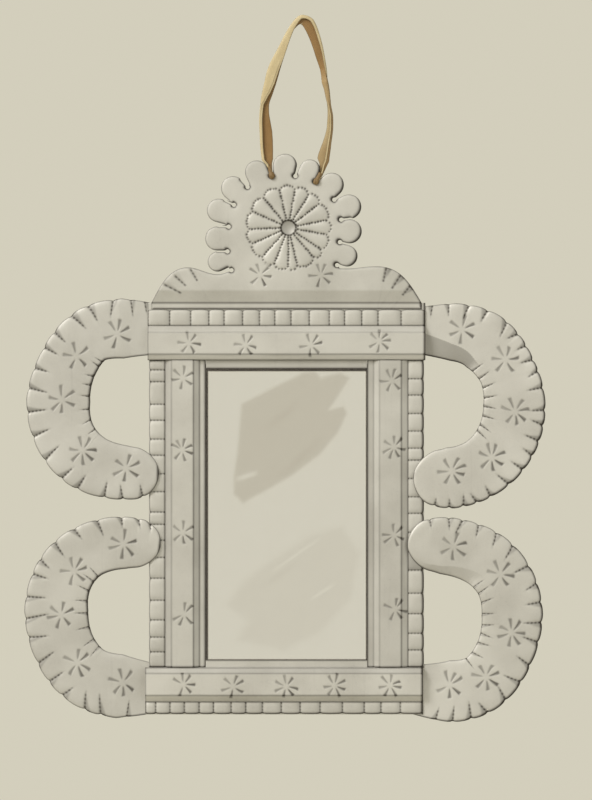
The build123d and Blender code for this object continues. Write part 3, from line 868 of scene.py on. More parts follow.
# A soft band of painted shade inside rims that face down and to the right.
crest_dirt_and_shade += 0.3 * rim_facing[rim_at].clip(0, 1) ** 2 * soft_line(to_rim, 2.6) * rise
# Slightly darker below the bend.
crest_dirt_and_shade += 0.03 * (above_base < 0)
# A dark ring round the eye at the end of each notch.
to_eye = nearest(plan - (0, CREST_BASE), NOTCH_EYES)[1]
crest_dirt_and_shade += 0.6 * soft_line(to_eye - EYE_RADIUS - 0.2, 0.9)
share, out = petal_places(crest_across, crest_up)
end = petal_end(share)
along_petal = ((out - DISH_RADIUS) / (end - DISH_RADIUS)).clip(0, 1)
swell = (1 - abs(2 * share - 1) ** 2.2) * (1 - along_petal**9) * (0.35 + 0.65 * along_petal)
crest_out += PETAL_RISE * swell * (out > DISH_RADIUS) * (out < end)
crest_out -= DISH_DEPTH * (1 - (out / DISH_RADIUS) ** 2).clip(0, 1) ** 0.7
dot_places = rosette_dots()
dot_at, to_dot = nearest(plan, dot_places)
dot_blows = np.random.default_rng(8).uniform(0.78, 1.25, len(dot_places))[dot_at]
dots = soft_line(to_dot, DOT_RADIUS * dot_blows)
crest_out -= DOT_DEPTH * dots
# Punched dots hold dirt, and it is darker along the lines of dots between the petals.
between = abs(2 * share - 1) ** 5 * soft_line(to_dot, 2.2)
crest_dirt_and_shade += STRUCK_DIRT_AND_SHADE * dots + 0.3 * between * (out > DISH_RADIUS) * (out < end)
# Painted shade over the dish, and a dark ring round its rim.
crest_dirt_and_shade += 0.28 * (out < DISH_RADIUS) + 0.6 * soft_line(out - DISH_RADIUS, 0.7)
stamps = sum(punch_star(crest_across, crest_up, star) for star in CREST_STARS)
crest_out += 0.8 * hand_worked(crest_across, crest_up, 5) * rise - STAR_DEPTH * stamps
crest_dirt_and_shade += STRUCK_DIRT_AND_SHADE * stamps
crest_out -= 0.6 * np.exp(-to_rim / 1.3) * rise
for start, end_place in SHOULDER_FOLDS:
    away, run = to_segment(crest_across, crest_up, start, end_place)
    crest_out -= 0.7 * soft_line(away, 1) * (1 - run**2)
    dashes = 0.7 + 0.3 * np.sin(2 * pi * run * 3.6)
    # A dark dashed line along each fold.
    crest_dirt_and_shade += 0.95 * soft_line(away, 0.75) * dashes * (run < 1)
    way = np.subtract(end_place, start)
    beside = (crest_up - start[1]) * way[0] - (crest_across - start[0]) * way[1]
    beside /= np.hypot(*way)
    wedge = 4.4 * (1 - run)
    # Painted shade on the flap beside each fold, heavier on the right shoulder.
    bent_back = (1 + np.tanh(beside / 0.4)) * (1 + np.tanh((wedge - beside) / 0.5)) / 4
    crest_dirt_and_shade += (0.24 + 0.3 * (1 - run)) * bent_back * (crest_across > 0)
    crest_dirt_and_shade += 0.1 * bent_back * (crest_across < 0)
crest_points = np.stack([crest_across, crest_up, crest_out], axis=1)
crest_faces = [tuple(face) for face in faces]
slopes = np.zeros((len(plan), 3))
for face in crest_faces:
    first, second, third = crest_points[list(face[:3])]
    slope = np.cross(second - first, third - first)
    slopes[list(face)] += slope * (1 if slope[2] > 0 else -1)
slopes /= np.linalg.norm(slopes, axis=1, keepdims=True) + 1e-9
crest_tin = tinplate("crest_plate_tin", RAIL_LIGHT, CREST_DARK, 5)
make_sheet(
    "crest_sheet", "crest_plate", crest_points, crest_points - slopes * TIN,
    crest_faces, crest_dirt_and_shade.clip(0, 1), crest_tin,
)


# The C-scrolls: four leaves of thin tin, bent to a C and scored along both margins so that they
# pillow. One end of each is soldered under the rail's flange, and the round tip lies over the
# side strip. Each is cut by hand, so no two are quite alike.

SCROLL_LOW = 3.4
SCROLL_HIGH = 6.5
SCROLL_DOME = 1.0
SCROLL_TUCK = 10.0
TIP_LENGTH = 18.0
RAIL_MIDDLE = {"upper": 142.8, "lower": 137.75}
RAIL_END = 108.3
SCROLL_COLUMNS = 95
SCROLL_LIGHT = (0.735, 0.72, 0.672)
SCROLL_DARK = (0.6, 0.583, 0.535)
SCROLL_TONES = {"upper_left": 0.96, "upper_right": 1.05, "lower_left": 0.98, "lower_right": 1.04}
SCROLL_TIPS = {"upper_left": 31.8, "upper_right": 30.2, "lower_left": 24.3, "lower_right": 23.2}

# Each route is the scroll's middle line: how far past the rail's end, how far from the rail
# toward the other scroll, and how wide the scroll is there.
SCROLL_ROUTES = {
    "upper_left": [
        (-8.6, -1.5, 39), (19.5, -2.3, 47), (42.9, 2.4, 44.5), (60.8, 22.7, 46), (69.8, 55.4, 50),
        (63.2, 84.3, 47.5), (44.5, 103.0, 46), (19.5, 110.0, 43), (-8.6, 111.0, 36.5),
    ],
    "upper_right": [
        (-7.0, -0.7, 36), (16.4, 0.1, 45), (39.8, 4.7, 48), (57.8, 20.3, 45), (69.5, 54.7, 49),
        (63.2, 85.1, 48.5), (44.5, 106.0, 47.5), (21.0, 114.2, 48), (-9.3, 112.6, 38),
    ],
    "lower_left": [
        (-6.2, 2.0, 38.6), (20.3, 3.5, 50), (44.5, 9.8, 48.5), (62.4, 28.5, 48.5), (71.2, 59.7, 50),
        (66.3, 87.8, 46.5), (50.7, 106.5, 42.5), (22.6, 115.6, 41), (-10.1, 113.5, 34.5),
    ],
    "lower_right": [
        (-7.8, 1.2, 39), (18.8, -0.4, 48.5), (42.2, 5.1, 46), (59.3, 24.6, 45.5), (67.9, 58.9, 48),
        (62.4, 84.7, 46), (46.8, 102.6, 46), (20.3, 112.7, 45), (-14.0, 114.6, 35),
    ],
}

# Where each margin is scored, as a place along the scroll, and how far in each score runs.
OUTER_SCORES = {
    "upper_left": [12, 22, 34, 48, 57, 69, 80, 94, 106, 120, 134, 148, 161, 171, 187, 199, 213],
    "upper_right": [
        12, 24, 37, 47, 58, 67, 75, 84, 91, 101, 114, 123, 132, 141, 150, 161, 173, 181, 189, 197, 206,
    ],
    "lower_left": [21, 38, 47, 60, 70, 82, 98, 109, 122, 135, 144, 156, 168, 182, 197, 208, 217],
    "lower_right": [
        17, 28, 39, 48, 58, 71, 82, 97, 109, 121, 132, 142, 156, 167, 178, 188, 197, 210,
    ],
}
OUTER_LENGTHS = {
    "upper_left": [8, 12, 13, 14, 15, 12, 12, 11, 15, 15, 14, 15, 12, 12, 12, 11, 10],
    "upper_right": [8, 9, 11, 10, 12, 9, 8, 10, 9, 12, 11, 10, 12, 9, 11, 12, 9, 8, 9, 7, 6],
    "lower_left": [12, 15, 13, 10, 13, 15, 15, 18, 15, 12, 10, 13, 10, 13, 8, 7, 5],
    "lower_right": [9, 12, 13, 10, 12, 14, 12, 13, 14, 12, 10, 13, 12, 11, 10, 12, 9, 7],
}
INNER_SCORES = {
    "upper_left": [63, 71, 83, 93, 106, 122, 136, 152],
    "upper_right": [66, 79, 91, 103, 113, 125, 137, 146],
    "lower_left": [67, 79, 95, 111, 126, 140, 155, 165],
    "lower_right": [55, 69, 82, 93, 102, 115, 129, 143, 155],
}
INNER_LENGTHS = {"upper_left": 6.5, "upper_right": 9.5, "lower_left": 9.5, "lower_right": 9}
SCROLL_STAR_SIZE = 1.2  # beside the stars of the frame

# Where the inner margin is bent back: start, end, width, drop and how dark the painted shade on the
# bent band is.
SCROLL_FOLDS = {
    "upper_left": (150, 215, 5, 0.0, 0.0), "upper_right": (-5, 62, 14, 2.4, 0.34),
    "lower_left": (150, 215, 5, 0.0, 0.0), "lower_right": (158, 212, 8.5, 2.0, 0.07),
}
SCROLL_STARS = {
    "upper_left": [
        (-132.1, 140.6, (118, 76, 28, -30, -103, -158)), (-163.8, 123.2, (102, 34, -40, -115, 172)),
        (-175.1, 89.2, (98, 39, -25, -89, -137, 172)),
        (-159.0, 49.8, (102, 55, 7, -45, -91, -139, 178)),
        (-125.0, 36.0, (75, 20, -36, -98, -154, 140)),
    ],
    "upper_right": [
        (136.9, 144.1, (78, 28, -30, -96, -153, 143)), (170.9, 120.8, (68, 3, -62, -127, 177, 122)),
        (178.3, 80.0, (110, 60, 16, -37, -77, -126, 163)),
        (160.1, 44.4, (110, 67, 25, -38, -87, -138, 162)),
        (129.1, 33.7, (128, 68, 28, -19, -63, -118, -175)),
    ],
    "lower_left": [
        (-127.1, -23.2, (81, 13, -46, -98, 152, -160)),
        (-165.7, -44.3, (108, 57, 13, -45, -109, 177)),
        (-175.6, -78.5, (78, 26, -48, -112, 147, -165)),
        (-163.2, -115.8, (86, 36, -25, -74, -128, 154)),
        (-127.7, -131.4, (100, 49, -32, -83, -134, 161)),
    ],
    "lower_right": [
        (130.2, -25.0, (73, 20, -40, -98, -151, 143)),
        (166.8, -46.8, (114, 51, -5, -60, -123, 166)),
        (175.6, -92.2, (93, 48, -2, -60, -103, -158, 148)),
        (155.7, -127.0, (116, 66, 18, -36, -78, -129, 170)),
        (127.1, -133.2, (110, 66, 27, -38, -87, -149)),
    ],
}


def smooth_line(knots, places, step=0.5):
    """A smooth curve through points, and the way it runs, at even steps along its length."""
    knots, places = np.array(knots, float), np.array(places, float)
    chords = np.linalg.norm(np.diff(knots, axis=0), axis=1)
    marks = np.concatenate([[0], np.cumsum(chords)])
    count = len(knots)
    system = np.zeros((count, count))
    known = np.zeros((count, knots.shape[1]))
    system[0, :2] = 2, 1
    known[0] = 3 * (knots[1] - knots[0]) / chords[0]
    system[-1, -2:] = 1, 2
    known[-1] = 3 * (knots[-1] - knots[-2]) / chords[-1]
    for number in range(1, count - 1):
        before, after = chords[number - 1], chords[number]
        system[number, number - 1:number + 2] = after, 2 * (before + after), before
        known[number] = 3 * (
            after * (knots[number] - knots[number - 1]) / before
            + before * (knots[number + 1] - knots[number]) / after
        )
    slopes = np.linalg.solve(system, known)
    fine = np.linspace(0, marks[-1], 4000)  # close enough to measure the length by
    span = np.searchsorted(marks, fine, side="right").clip(1, count - 1) - 1
    width = chords[span]
    share = ((fine - marks[span]) / width)[:, None]
    curve = (
        (2 * share**3 - 3 * share**2 + 1) * knots[span]
        + (share**3 - 2 * share**2 + share) * width[:, None] * slopes[span]
        + (3 * share**2 - 2 * share**3) * knots[span + 1]
        + (share**3 - share**2) * width[:, None] * slopes[span + 1]
    )
    walked = np.concatenate([[0], np.cumsum(np.linalg.norm(np.diff(curve, axis=0), axis=1))])
    length = walked[-1]
    along = np.linspace(0, length, int(length / step))
    line = np.stack([np.interp(along, walked, curve[:, k]) for k in range(2)], axis=1)
    heading = np.gradient(line, axis=0)
    heading /= np.linalg.norm(heading, axis=1, keepdims=True)
    return line, heading, along


def scored_margin(along, edge, marks, lengths, hand):
    """Creases that run in from a margin: their depth, their dirt with a wedge of painted shade beside
    each, and the pillows between.
    """
    marks = np.array(marks, float)
    nearest_mark = abs(along[:, None] - marks[None, :]).argmin(axis=1)
    lean = hand.uniform(-0.25, 0.25, len(marks))[nearest_mark][:, None]
    length = np.array(lengths, float)[nearest_mark][:, None]
    offset = along[:, None] - marks[nearest_mark][:, None] + lean * edge
    inside = (1 + np.tanh((length - edge) / 1.6)) / 2
    depth = soft_line(offset, 0.85) * inside * (0.55 + 0.45 * np.exp(-edge / 6))
    dashes = 0.7 + 0.3 * np.sin(2 * pi * edge / 3.1 + 2 * nearest_mark[:, None])
    dirt_and_painted_light = soft_line(offset, 0.55) * inside * dashes
    # A wedge of painted shade beside each crease, widest at the margin.
    wedge = 3.4 * (1 - edge / length).clip(0, 1)
    dirt_and_painted_light += 0.2 * (1 - np.tanh(offset / 0.5)) * (1 + np.tanh((offset + wedge) / 0.5)) / 2 * inside
    bounds = np.concatenate([[along[0]], marks, [along[-1]]])
    span = np.searchsorted(bounds, along, side="right").clip(1, len(bounds) - 1)
    place = (along - bounds[span - 1]) / (bounds[span] - bounds[span - 1])
    swell = (1 - abs(2 * place - 1) ** 2.6)[:, None] * soft_line(edge, 9)
    return depth, dirt_and_painted_light, swell


def scroll_leaf(name, seed):
    """One scroll as a sheet: rows go along its middle line, columns from its inner edge out."""
    side = -1 if "left" in name else 1
    up = 1 if "upper" in name else -1
    rail_middle = RAIL_MIDDLE[name.split("_")[0]]
    route = SCROLL_ROUTES[name]
    stretch = (rail_middle - SCROLL_TIPS[name]) / route[-1][1]
    knots = [
        (side * (RAIL_END + out), up * (rail_middle - stretch * toward)) for out, toward, _ in route
    ]
    line, heading, along = smooth_line(knots, route)
    length = along[-1]
    widths = np.interp(along, np.linspace(0, length, len(route)), [width for *_, width in route])
    past = ((along - length + TIP_LENGTH) / TIP_LENGTH).clip(0, 1)
    widths = widths * np.sqrt((1 - past**2).clip(0.003, 1))
    spread = np.linspace(-0.5, 0.5, SCROLL_COLUMNS)
    hand = np.random.default_rng(seed)
    outer_edge = (0.5 - spread)[None, :] * widths[:, None]
    inner_edge = (0.5 + spread)[None, :] * widths[:, None]
    outer_marks, inner_marks = OUTER_SCORES[name], INNER_SCORES[name]
    inner_lengths = [INNER_LENGTHS[name]] * len(inner_marks)
    outer_margin = (along, outer_edge, outer_marks, OUTER_LENGTHS[name], hand)
    inner_margin = (along, inner_edge, inner_marks, inner_lengths, hand)
    outer_creases, outer_dirt_and_shade, outer_pillows = scored_margin(*outer_margin)
    inner_creases, inner_dirt_and_shade, inner_pillows = scored_margin(*inner_margin)
    scored = ((along > inner_marks[0] - 8) & (along < inner_marks[-1] + 8))[:, None]
    open_share = (np.interp(along, [0.9 * SCROLL_TUCK, 3 * SCROLL_TUCK], [0, 1])[:, None]) ** 1.5
    low = np.interp(along, [SCROLL_TUCK, length - TIP_LENGTH], [SCROLL_LOW, SCROLL_HIGH])[:, None]
    dome = (1 - abs(2 * spread) ** 4)[None, :]
    height = low + open_share * SCROLL_DOME * dome
    height = height + open_share * (0.6 * outer_pillows + 0.3 * inner_pillows * scored)
    roll = np.exp(-np.minimum(outer_edge, inner_edge) / 1.3)
    tip_away = (length - along)[:, None]
    height = height - open_share * 0.6 * np.maximum(roll, np.exp(-tip_away / 1.3))
    fold_start, fold_end, fold_width, fold_drop, fold_shade = SCROLL_FOLDS[name]
    folded = (np.tanh((along - fold_start) / 5) - np.tanh((along - fold_end) / 5))[:, None] / 2
    fold_share = ((along - fold_start) / (fold_end - fold_start)).clip(0, 1)
    wide = fold_width * (1.35 - 0.8 * fold_share)
    below = (1 - inner_edge / wide[:, None]).clip(0, 1)
    height = height - fold_drop * folded * below
    rim_pillows = outer_pillows[:, -1:]
    notch = (1 - rim_pillows / rim_pillows.max()).clip(0, 1)
    reach_out = spread[None, :] * widths[:, None] - 0.9 * notch * np.exp(-outer_edge / 5) * open_share
    aside = np.stack([heading[:, 1], -heading[:, 0]], axis=1) * (-side * up)
    across = line[:, :1] + aside[:, :1] * reach_out
    above = line[:, 1:] + aside[:, 1:] * reach_out
    points = np.stack([across, above, height], axis=-1)
    stamps = sum(punch_star(across, above, star, SCROLL_STAR_SIZE) for star in SCROLL_STARS[name])
    relief = 0.7 * hand_worked(across, above, seed) * open_share - STAR_DEPTH * stamps
    relief -= open_share * (0.55 * outer_creases + 0.35 * inner_creases * scored)
    dirt_and_painted_light = STRUCK_DIRT_AND_SHADE * (stamps + outer_dirt_and_shade + inner_dirt_and_shade * scored)
    out_way = faces_down_right(aside[:, :1], aside[:, 1:])
    # Grime and painted shade along the edges and round the tip.
    dirt_and_painted_light += rim_grime_and_shade(outer_edge, out_way) + rim_grime_and_shade(inner_edge, -out_way)
    dirt_and_painted_light += rim_grime_and_shade(tip_away, faces_down_right(heading[-1, 0], heading[-1, 1]))
    # Painted shade on the band that is bent back.
    dirt_and_painted_light += fold_shade * folded * (below > 0) * (0.75 + 0.5 * fold_share[:, None])
    tone = SCROLL_TONES[name]
    light, dark = toned(SCROLL_LIGHT, tone), toned(SCROLL_DARK, tone)
    finish = tinplate(f"{name}_scroll_tin", light, dark, seed)
    grid_sheet(f"{name}_scroll_leaf", f"{name}_scroll", points, relief, dirt_and_painted_light, finish)


for seed, scroll_name in enumerate(SCROLL_ROUTES, 41):
    scroll_leaf(scroll_name, seed)


# The thong: a strip of rawhide, smooth and buff on one side, rough and brown on the other, that
# carries the mirror from a nail. It has dried with a fold along it and a twist on the right,
# and its ends go through the eyes of two notches in the crest and are knotted in front.

THONG_OUT = 6.5
THONG_THICK = 1.2
LEFT_EYE = (-11.5, 263.9)
RIGHT_EYE = (22.9, 259.4)
THONG_ROUTE = [
    (-13.8, 279.0), (-15.6, 297.7), (-16.6, 314.9), (-14.4, 332.0), (-9.8, 349.2), (-2.9, 365.3),
    (3.8, 378.9), (9.6, 388.5), (15.8, 388.1), (20.9, 377.3), (25.4, 360.1), (29.3, 342.9),
    (32.8, 325.8), (34.3, 308.6), (32.2, 291.5), (28.2, 274.7),
]

# The strap as it lies, from its left end: first whether the front part leads, then the share of
# the length, the front and the back part's width, the twist and the shift toward the inside.
STRAP_RUNS = [
    (True, [
        (0.0, 1.2, 2.6, 0, 0), (0.02, 1.3, 3.3, 0, -0.2), (0.036, 1.9, 4.8, 0, -0.5),
        (0.05, 2.3, 8.9, 0, -1.2), (0.075, 2.3, 9.8, 0, -0.8), (0.103, 2.4, 10.2, 0, -0.4),
        (0.13, 2.5, 10.0, 0, -0.2), (0.157, 2.6, 9.1, 0, -0.5), (0.183, 2.6, 7.7, 0, -0.8),
        (0.21, 2.8, 6.9, 0, -0.8), (0.222, 4.4, 7.4, 0, -0.6), (0.235, 5.5, 8.2, 0, -0.2),
        (0.247, 6.7, 8.6, 0, 0.2), (0.275, 8.2, 9.3, 0, 0.7), (0.302, 9.0, 9.8, 0, 0.6),
        (0.33, 8.8, 9.2, 0, 0.6), (0.358, 7.9, 7.8, 0, 0.8), (0.387, 6.6, 5.6, 0, 0.7),
        (0.417, 5.5, 4.8, 0, 0.3), (0.447, 4.4, 4.3, 0, 0.1), (0.465, 4.2, 5.2, 0, 0.9),
        (0.48, 3.6, 7.0, 0, 2.3), (0.5, 3.0, 8.2, 0, 2.8), (0.52, 2.8, 9.8, 0, 1.2),
        (0.54, 2.5, 9.5, 0, 0.8), (0.56, 2.5, 8.9, 0, 0.5), (0.58, 2.4, 8.4, 0, 0.2),
        (0.6, 2.1, 7.9, 0, 0), (0.62, 1.8, 7.3, 0, 0), (0.64, 1.5, 6.7, -12, 0),
        (0.66, 1.1, 6.3, -25, 0), (0.68, 0.5, 6.2, -38, 0.3), (0.69, 0, 6.2, -45, 0.4),
    ]),
    (False, [
        (0.69, 6.2, 0, -45, 0.4), (0.7, 5.4, 0.8, -42, 0.5), (0.72, 4.2, 2.4, -35, 0.2),
        (0.74, 3.6, 3.3, -25, 0.3), (0.76, 3.1, 3.5, -12, 0.5), (0.77, 2.8, 3.1, 0, 0.4),
        (0.78, 2.9, 3.4, 0, 0.3), (0.8, 2.9, 4.4, 0, 0), (0.82, 2.9, 4.9, 0, 0),
        (0.84, 2.9, 5.2, 0, -0.2), (0.86, 3.0, 5.9, 0, 0), (0.88, 3.2, 6.8, 0, 0.3),
        (0.9, 3.3, 8.2, 0, 0.5), (0.92, 3.5, 9.3, 0, 0.5), (0.932, 3.6, 9.7, 0, 0.1),
        (0.945, 3.3, 6.4, 0, -0.9), (0.96, 2.5, 4.4, 0, -1.4), (0.98, 1.7, 3.0, 0, -1.4),
        (1.0, 1.3, 2.4, 0, -0.4),
    ]),
]
STRAP_STEPS = 420
HIDE_LINE = 0.3  # how wide the dark lines at the strap's edges and fold are: grime and painted shadow on its edges, painted shade along the fold
EDGE_THICK = 1.5  # how wide the cut edge shows where the strap lies turned
GRIME_AND_SHADE_BROWN = (0.09, 0.065, 0.035)
BLOTCH_BROWN = (0.78, 0.74, 0.66)


def hide(name, smooth, rough):
    """Rawhide: buff on its smooth side and brown on its flesh side, with grain, grime at its edges, and
    painted shade along its fold and beside its turned edges.
    """
    finish, tree, shader = new_finish(name)
    place = surface_place(tree)
    grain = noise(tree, place, 420, 5)
    blotches = ramp(tree, noise(tree, place, 60, 3), 0.4, 0.75, 0, 0.8)
    colour = mix(tree, reading(tree, "flesh"), smooth, rough)
    colour = mix(tree, reading(tree, "edge_grime_and_shade"), colour, GRIME_AND_SHADE_BROWN)
    colour = mix(tree, blotches, colour, BLOTCH_BROWN, "MULTIPLY")
    tree.links.new(colour, shader.inputs["Base Color"])
    tree.links.new(ramp(tree, grain, 0.3, 0.7, 0.5, 0.75), shader.inputs["Roughness"])
    tree.links.new(bumps(tree, grain, 0.5, 0.0002), shader.inputs["Normal"])
    return finish


rawhide = hide("rawhide", (0.74, 0.61, 0.35), (0.35, 0.205, 0.072))
knotted = hide("knotted_rawhide", (0.4, 0.28, 0.13), (0.25, 0.155, 0.06))
route_points = [LEFT_EYE, *THONG_ROUTE, RIGHT_EYE]
line_data = bpy.data.curves.new("thong_line", "CURVE")
line_data.dimensions = "3D"
line_data.resolution_u = 24
thong_spline = line_data.splines.new("NURBS")
thong_spline.points.add(len(route_points) - 1)
for point, (across, up) in zip(thong_spline.points, route_points):
    point.co = (across * MM, -THONG_OUT * MM, up * MM, 1)
thong_spline.order_u = 3
thong_spline.use_endpoint_u = True
thong_line = bpy.data.objects.new("thong_line", line_data)
bpy.context.scene.collection.objects.link(thong_line)
bpy.context.view_layer.update()
line_mesh = bpy.data.meshes.new_from_object(thong_line)
thong_path = np.array([tuple(vertex.co) for vertex in line_mesh.vertices])
bpy.data.objects.remove(thong_line)
walked = np.concatenate([[0], np.cumsum(np.linalg.norm(np.diff(thong_path, axis=0), axis=1))])
thong_length = walked[-1]
STRAP_PLACES = np.linspace(0, 1, 49)


def strap_section(front_part, back_part, twist, shift, front_first):
    """Points across the folded strap: inward in the loop, out to the front, and from its fold."""
    width = front_part + back_part
    fold = (front_part if front_first else back_part) / width
    depth = 1.15 * min(1, front_part, back_part)
    run = (STRAP_PLACES - fold) * width
    inward = np.sqrt(run**2 + 0.5 * depth) - sqrt(0.5 * depth)
    front = -depth * np.tanh(run / 1.1) * (1 if front_first else -1)
    inward += shift - inward.max() / 2
    turn = radians(twist)
    return inward * cos(turn) - front * sin(turn), inward * sin(turn) + front * cos(turn), run


shares, sections, flesh_rows, edge_grime_and_shade_rows = [], [], [], []
for front_first, table in STRAP_RUNS:
    marks, *columns = np.array(table).T
    part_shares = np.linspace(marks[0], marks[-1], round(STRAP_STEPS * (marks[-1] - marks[0])))
    if shares:
        part_shares = part_shares[1:]
    for share in part_shares:
        front_part, back_part, twist, shift = (np.interp(share, marks, column) for column in columns)
        inward, front, run = strap_section(front_part, back_part, twist, shift, front_first)
        sections.append((inward, front))
        from_first, from_last = run - run[0], run[-1] - run
        # Browner smooth side toward the right end: handling wear, and painted shade where that part
        # turns from the light.
        handled_and_shaded = np.interp(share, [0.82, 0.9], [0, 0.55])
        pale = np.interp(share, [0.66, 0.72, 0.9, 1], [1, 0.6, 0.8, 0.85])
        turned = np.interp(share, [0.74, 0.79], [0, 1])
        cut_edge = turned * (from_last < 1.1)
        # Dark lines: painted shade along the fold, and grime with painted shadow along the edges.
        fold_line = 0.55 * min(1, front_part, back_part) * soft_line(run, HIDE_LINE)
        outline = fold_line + 0.75 * soft_line(from_first, HIDE_LINE)
        outline += 0.75 * soft_line(from_last, HIDE_LINE)
        # Dark lines where a turned edge meets the face: grime, and painted shadow of the edge.
        thick_edge = np.interp(share, [0.14, 0.19, 0.33, 0.36], [0, 1, 1, 0])
        inner_line = 0.55 * thick_edge * soft_line(from_first - EDGE_THICK, HIDE_LINE)
        edge_line = 0.7 * turned * soft_line(from_last - EDGE_THICK, HIDE_LINE)
        smooth_flesh = np.full(len(run), handled_and_shaded)
        rough_flesh = pale * (1 - cut_edge)
        flesh_rows.append(np.concatenate([smooth_flesh, rough_flesh[::-1]]))
        edge_grime_and_shade_rows.append(np.concatenate([outline + inner_line, (outline + edge_line)[::-1]]))
    shares.extend(part_shares)
shares = np.array(shares)
along = shares * thong_length
centre = np.stack([np.interp(along, walked, thong_path[:, k]) for k in range(3)], axis=1)
run_way = np.gradient(centre, axis=0)
run_way /= np.linalg.norm(run_way, axis=1, keepdims=True)
front_way = np.array((0, -1, 0))
inside_way = np.cross(run_way, front_way)
middle = np.array([
    centre[number] + MM * (inward[:, None] * inside_way[number] + front[:, None] * front_way)
    for number, (inward, front) in enumerate(sections)
])
across_way = np.gradient(middle, axis=1)
along_way = np.gradient(middle, axis=0)
off_way = np.cross(across_way, along_way)
off_way /= np.linalg.norm(off_way, axis=2, keepdims=True) + 1e-12
rows, columns = middle.shape[:2]
edge_share = abs(np.linspace(-1, 1, columns))[None, :, None]
thin = THONG_THICK * MM / 2 * np.sqrt(1 - 0.8 * edge_share**8)
smooth_side = middle - off_way * thin
rough_side = middle + off_way * thin
thong_points = np.concatenate([smooth_side, rough_side[:, ::-1]], axis=1).reshape(-1, 3)


def tube_faces(rings, around):
    """Faces round a tube, from its first ring of points to its last, with both ends closed."""
    faces = []
    for start in range(0, (rings - 1) * around, around):
        for step in range(around):
            beside = start + (step + 1) % around
            faces.append((start + step, beside, beside + around, start + step + around))
    faces.append(tuple(range(around))[::-1])
    faces.append(tuple((rings - 1) * around + step for step in range(around)))
    return faces


thong_mesh = smooth_mesh("rawhide_thong", thong_points, tube_faces(rows, 2 * columns), rawhide, {
    "flesh": np.concatenate(flesh_rows).clip(0, 1),
    "edge_grime_and_shade": np.concatenate(edge_grime_and_shade_rows).clip(0, 1),
})
thong = fit_piece("rawhide_thong", thong_mesh, "hanging_thong", "thong_loop")


def thong_knot(name, eye, way, size, seed):
    """The end of the thong: a hard rounded knot over the eye, and its neck up the notch."""
    hand = np.random.default_rng(seed)
    way = radians(way)
    rings, around = 26, 28
    points, flesh = [], []
    for share in np.arange(rings + 1) / rings:
        lump = size * sqrt(max(0.0, 1 - ((share - 0.27) / 0.27) ** 2)) if share < 0.5 else 0
        neck = 1.4 + 0.25 * max(0, share - 0.45) / 0.55
        girth = max(lump, neck * min(1, share / 0.3)) if share < 0.97 else 0.3
        along = -2.4 + 10.5 * share
        for step in range(around):
            turn = 2 * pi * step / around
            twist = 1 + 0.1 * cos(3 * turn + 9 * share + seed) + 0.03 * hand.normal()
            side = girth * twist * cos(turn)
            height = girth * twist * sin(turn)
            drop = 1.5 * max(0, share - 0.4) / 0.6
            points.append((
                eye[0] + along * cos(way) - side * sin(way),
                eye[1] + along * sin(way) + side * cos(way),
                CREST_FRONT + 1.1 - drop + max(height * 0.75, -1.3),
            ))
            flesh.append(0.75 + 0.25 * sin(4 * turn + 14 * share))
    faces = tube_faces(rings + 1, around)
    mesh = smooth_mesh(name, in_metres(np.array(points)), faces, knotted, {"flesh": flesh})
    fit_piece(name + "_hide", mesh, name)


thong_knot("left_thong_knot", LEFT_EYE, way=103, size=2.35, seed=1)
thong_knot("right_thong_knot", RIGHT_EYE, way=62, size=2.2, seed=2)


# Where it is looked at: the mirror hangs clear of a pale floor in a pale room, in soft light
# from the upper left, and the camera stands square in front of it.

PAPER = (0.652, 0.62, 0.503)
FLOOR_DROP = 0.9
EYE_DISTANCE = 6.0
VIEW_HEIGHT = 0.624
VIEW_MIDDLE = (0.0074, 0.0893)


def blend_shaders(tree, share, first, second):
    """The first shader with a share of the second in its place."""
    blend = tree.nodes.new("ShaderNodeMixShader")
    for socket, output in zip(blend.inputs, (share, first, second)):
        tree.links.new(output, socket)
    return blend.outputs[0]


floor_mesh = bpy.data.meshes.new("studio_floor")
floor_mesh.from_pydata([(-6, -6, 0), (6, -6, 0), (6, 6, 0), (-6, 6, 0)], [], [(0, 1, 2, 3)])
floor_paint, floor_tree, floor_shader = new_finish("floor_paint")
floor_shader.inputs["Base Color"].default_value = (*PAPER, 1)
floor_shader.inputs["Roughness"].default_value = 0.9
floor_glow = floor_tree.nodes.new("ShaderNodeEmission")
floor_glow.inputs["Color"].default_value = (*PAPER, 1)
rays = floor_tree.nodes.new("ShaderNodeLightPath").outputs
shown = reckon(floor_tree, "MAXIMUM", rays["Is Camera Ray"], rays["Is Glossy Ray"])
pale = reckon(floor_tree, "MULTIPLY", shown, 0.75)
floor_shown = blend_shaders(floor_tree, pale, floor_shader.outputs[0], floor_glow.outputs[0])
floor_tree.links.new(floor_shown, floor_tree.nodes["Material Output"].inputs["Surface"])
floor_mesh.materials.append(floor_paint)
floor = bpy.data.objects.new("studio_floor", floor_mesh)
floor.location = (0, 0, -FLOOR_DROP)
bpy.context.scene.collection.objects.link(floor)

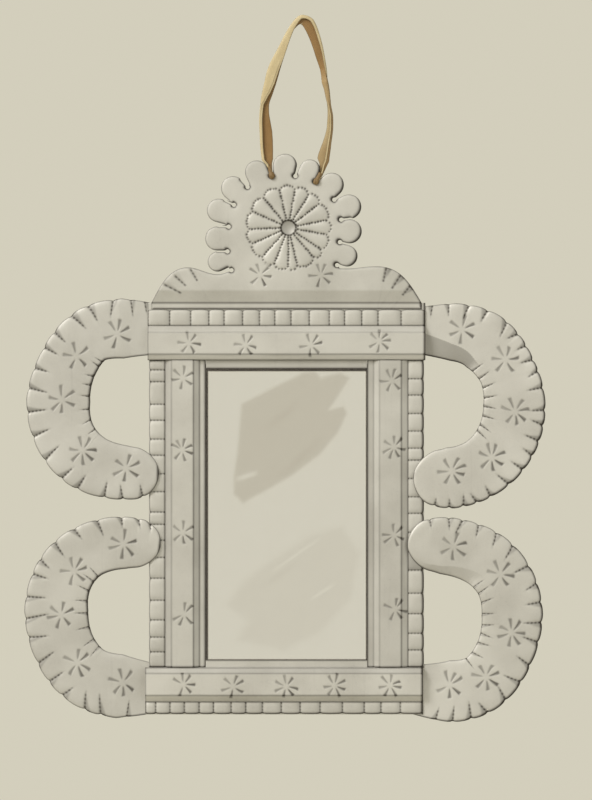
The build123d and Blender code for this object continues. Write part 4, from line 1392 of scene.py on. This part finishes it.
world = bpy.data.worlds.new("paper_room")
bpy.context.scene.world = world
world.use_nodes = True
room = world.node_tree
room.nodes.clear()
seen = room.nodes.new("ShaderNodeBackground")
seen.inputs["Color"].default_value = (*PAPER, 1)
lit = room.nodes.new("ShaderNodeBackground")
lit.inputs["Color"].default_value = (1.0, 0.98, 0.94, 1)
lit.inputs["Strength"].default_value = 0.4
rays = room.nodes.new("ShaderNodeLightPath").outputs
shown = reckon(room, "MAXIMUM", rays["Is Camera Ray"], rays["Is Glossy Ray"])
shown = reckon(room, "MAXIMUM", shown, rays["Is Transmission Ray"])
room_light = blend_shaders(room, shown, lit.outputs[0], seen.outputs[0])
room.links.new(room_light, room.nodes.new("ShaderNodeOutputWorld").inputs[0])


def studio_lamp(name, place, size, power, colour):
    """A square soft lamp that faces the middle of the mirror."""
    lamp = bpy.data.lights.new(name, "AREA")
    lamp.size = size
    lamp.energy = power
    lamp.color = colour
    holder = bpy.data.objects.new(name, lamp)
    holder.location = place
    toward = Vector((0, 0, 0.06)) - Vector(place)
    holder.rotation_euler = toward.to_track_quat("-Z", "Y").to_euler()
    bpy.context.scene.collection.objects.link(holder)


WARM = (1.0, 0.98, 0.95)
COOL = (0.95, 0.97, 1.0)
studio_lamp("window_lamp", (-2.0, -1.9, 2.1), size=1.5, power=73, colour=WARM)
studio_lamp("fill_lamp", (2.2, -2.0, 0.2), size=2.0, power=6, colour=COOL)
studio_lamp("back_lamp", (-1.5, 2.5, 1.6), size=2.0, power=30, colour=WARM)

camera_data = bpy.data.cameras.new("camera")
camera_data.sensor_fit = "VERTICAL"
camera_data.sensor_height = 36
camera_data.lens = 36 * (EYE_DISTANCE - THONG_OUT * MM) / VIEW_HEIGHT
camera = bpy.data.objects.new("camera", camera_data)
camera.location = (VIEW_MIDDLE[0], -EYE_DISTANCE, VIEW_MIDDLE[1])
camera.rotation_euler = (pi / 2, 0, 0)
bpy.context.scene.collection.objects.link(camera)
bpy.context.scene.camera = camera
bpy.context.scene.view_settings.view_transform = "Standard"
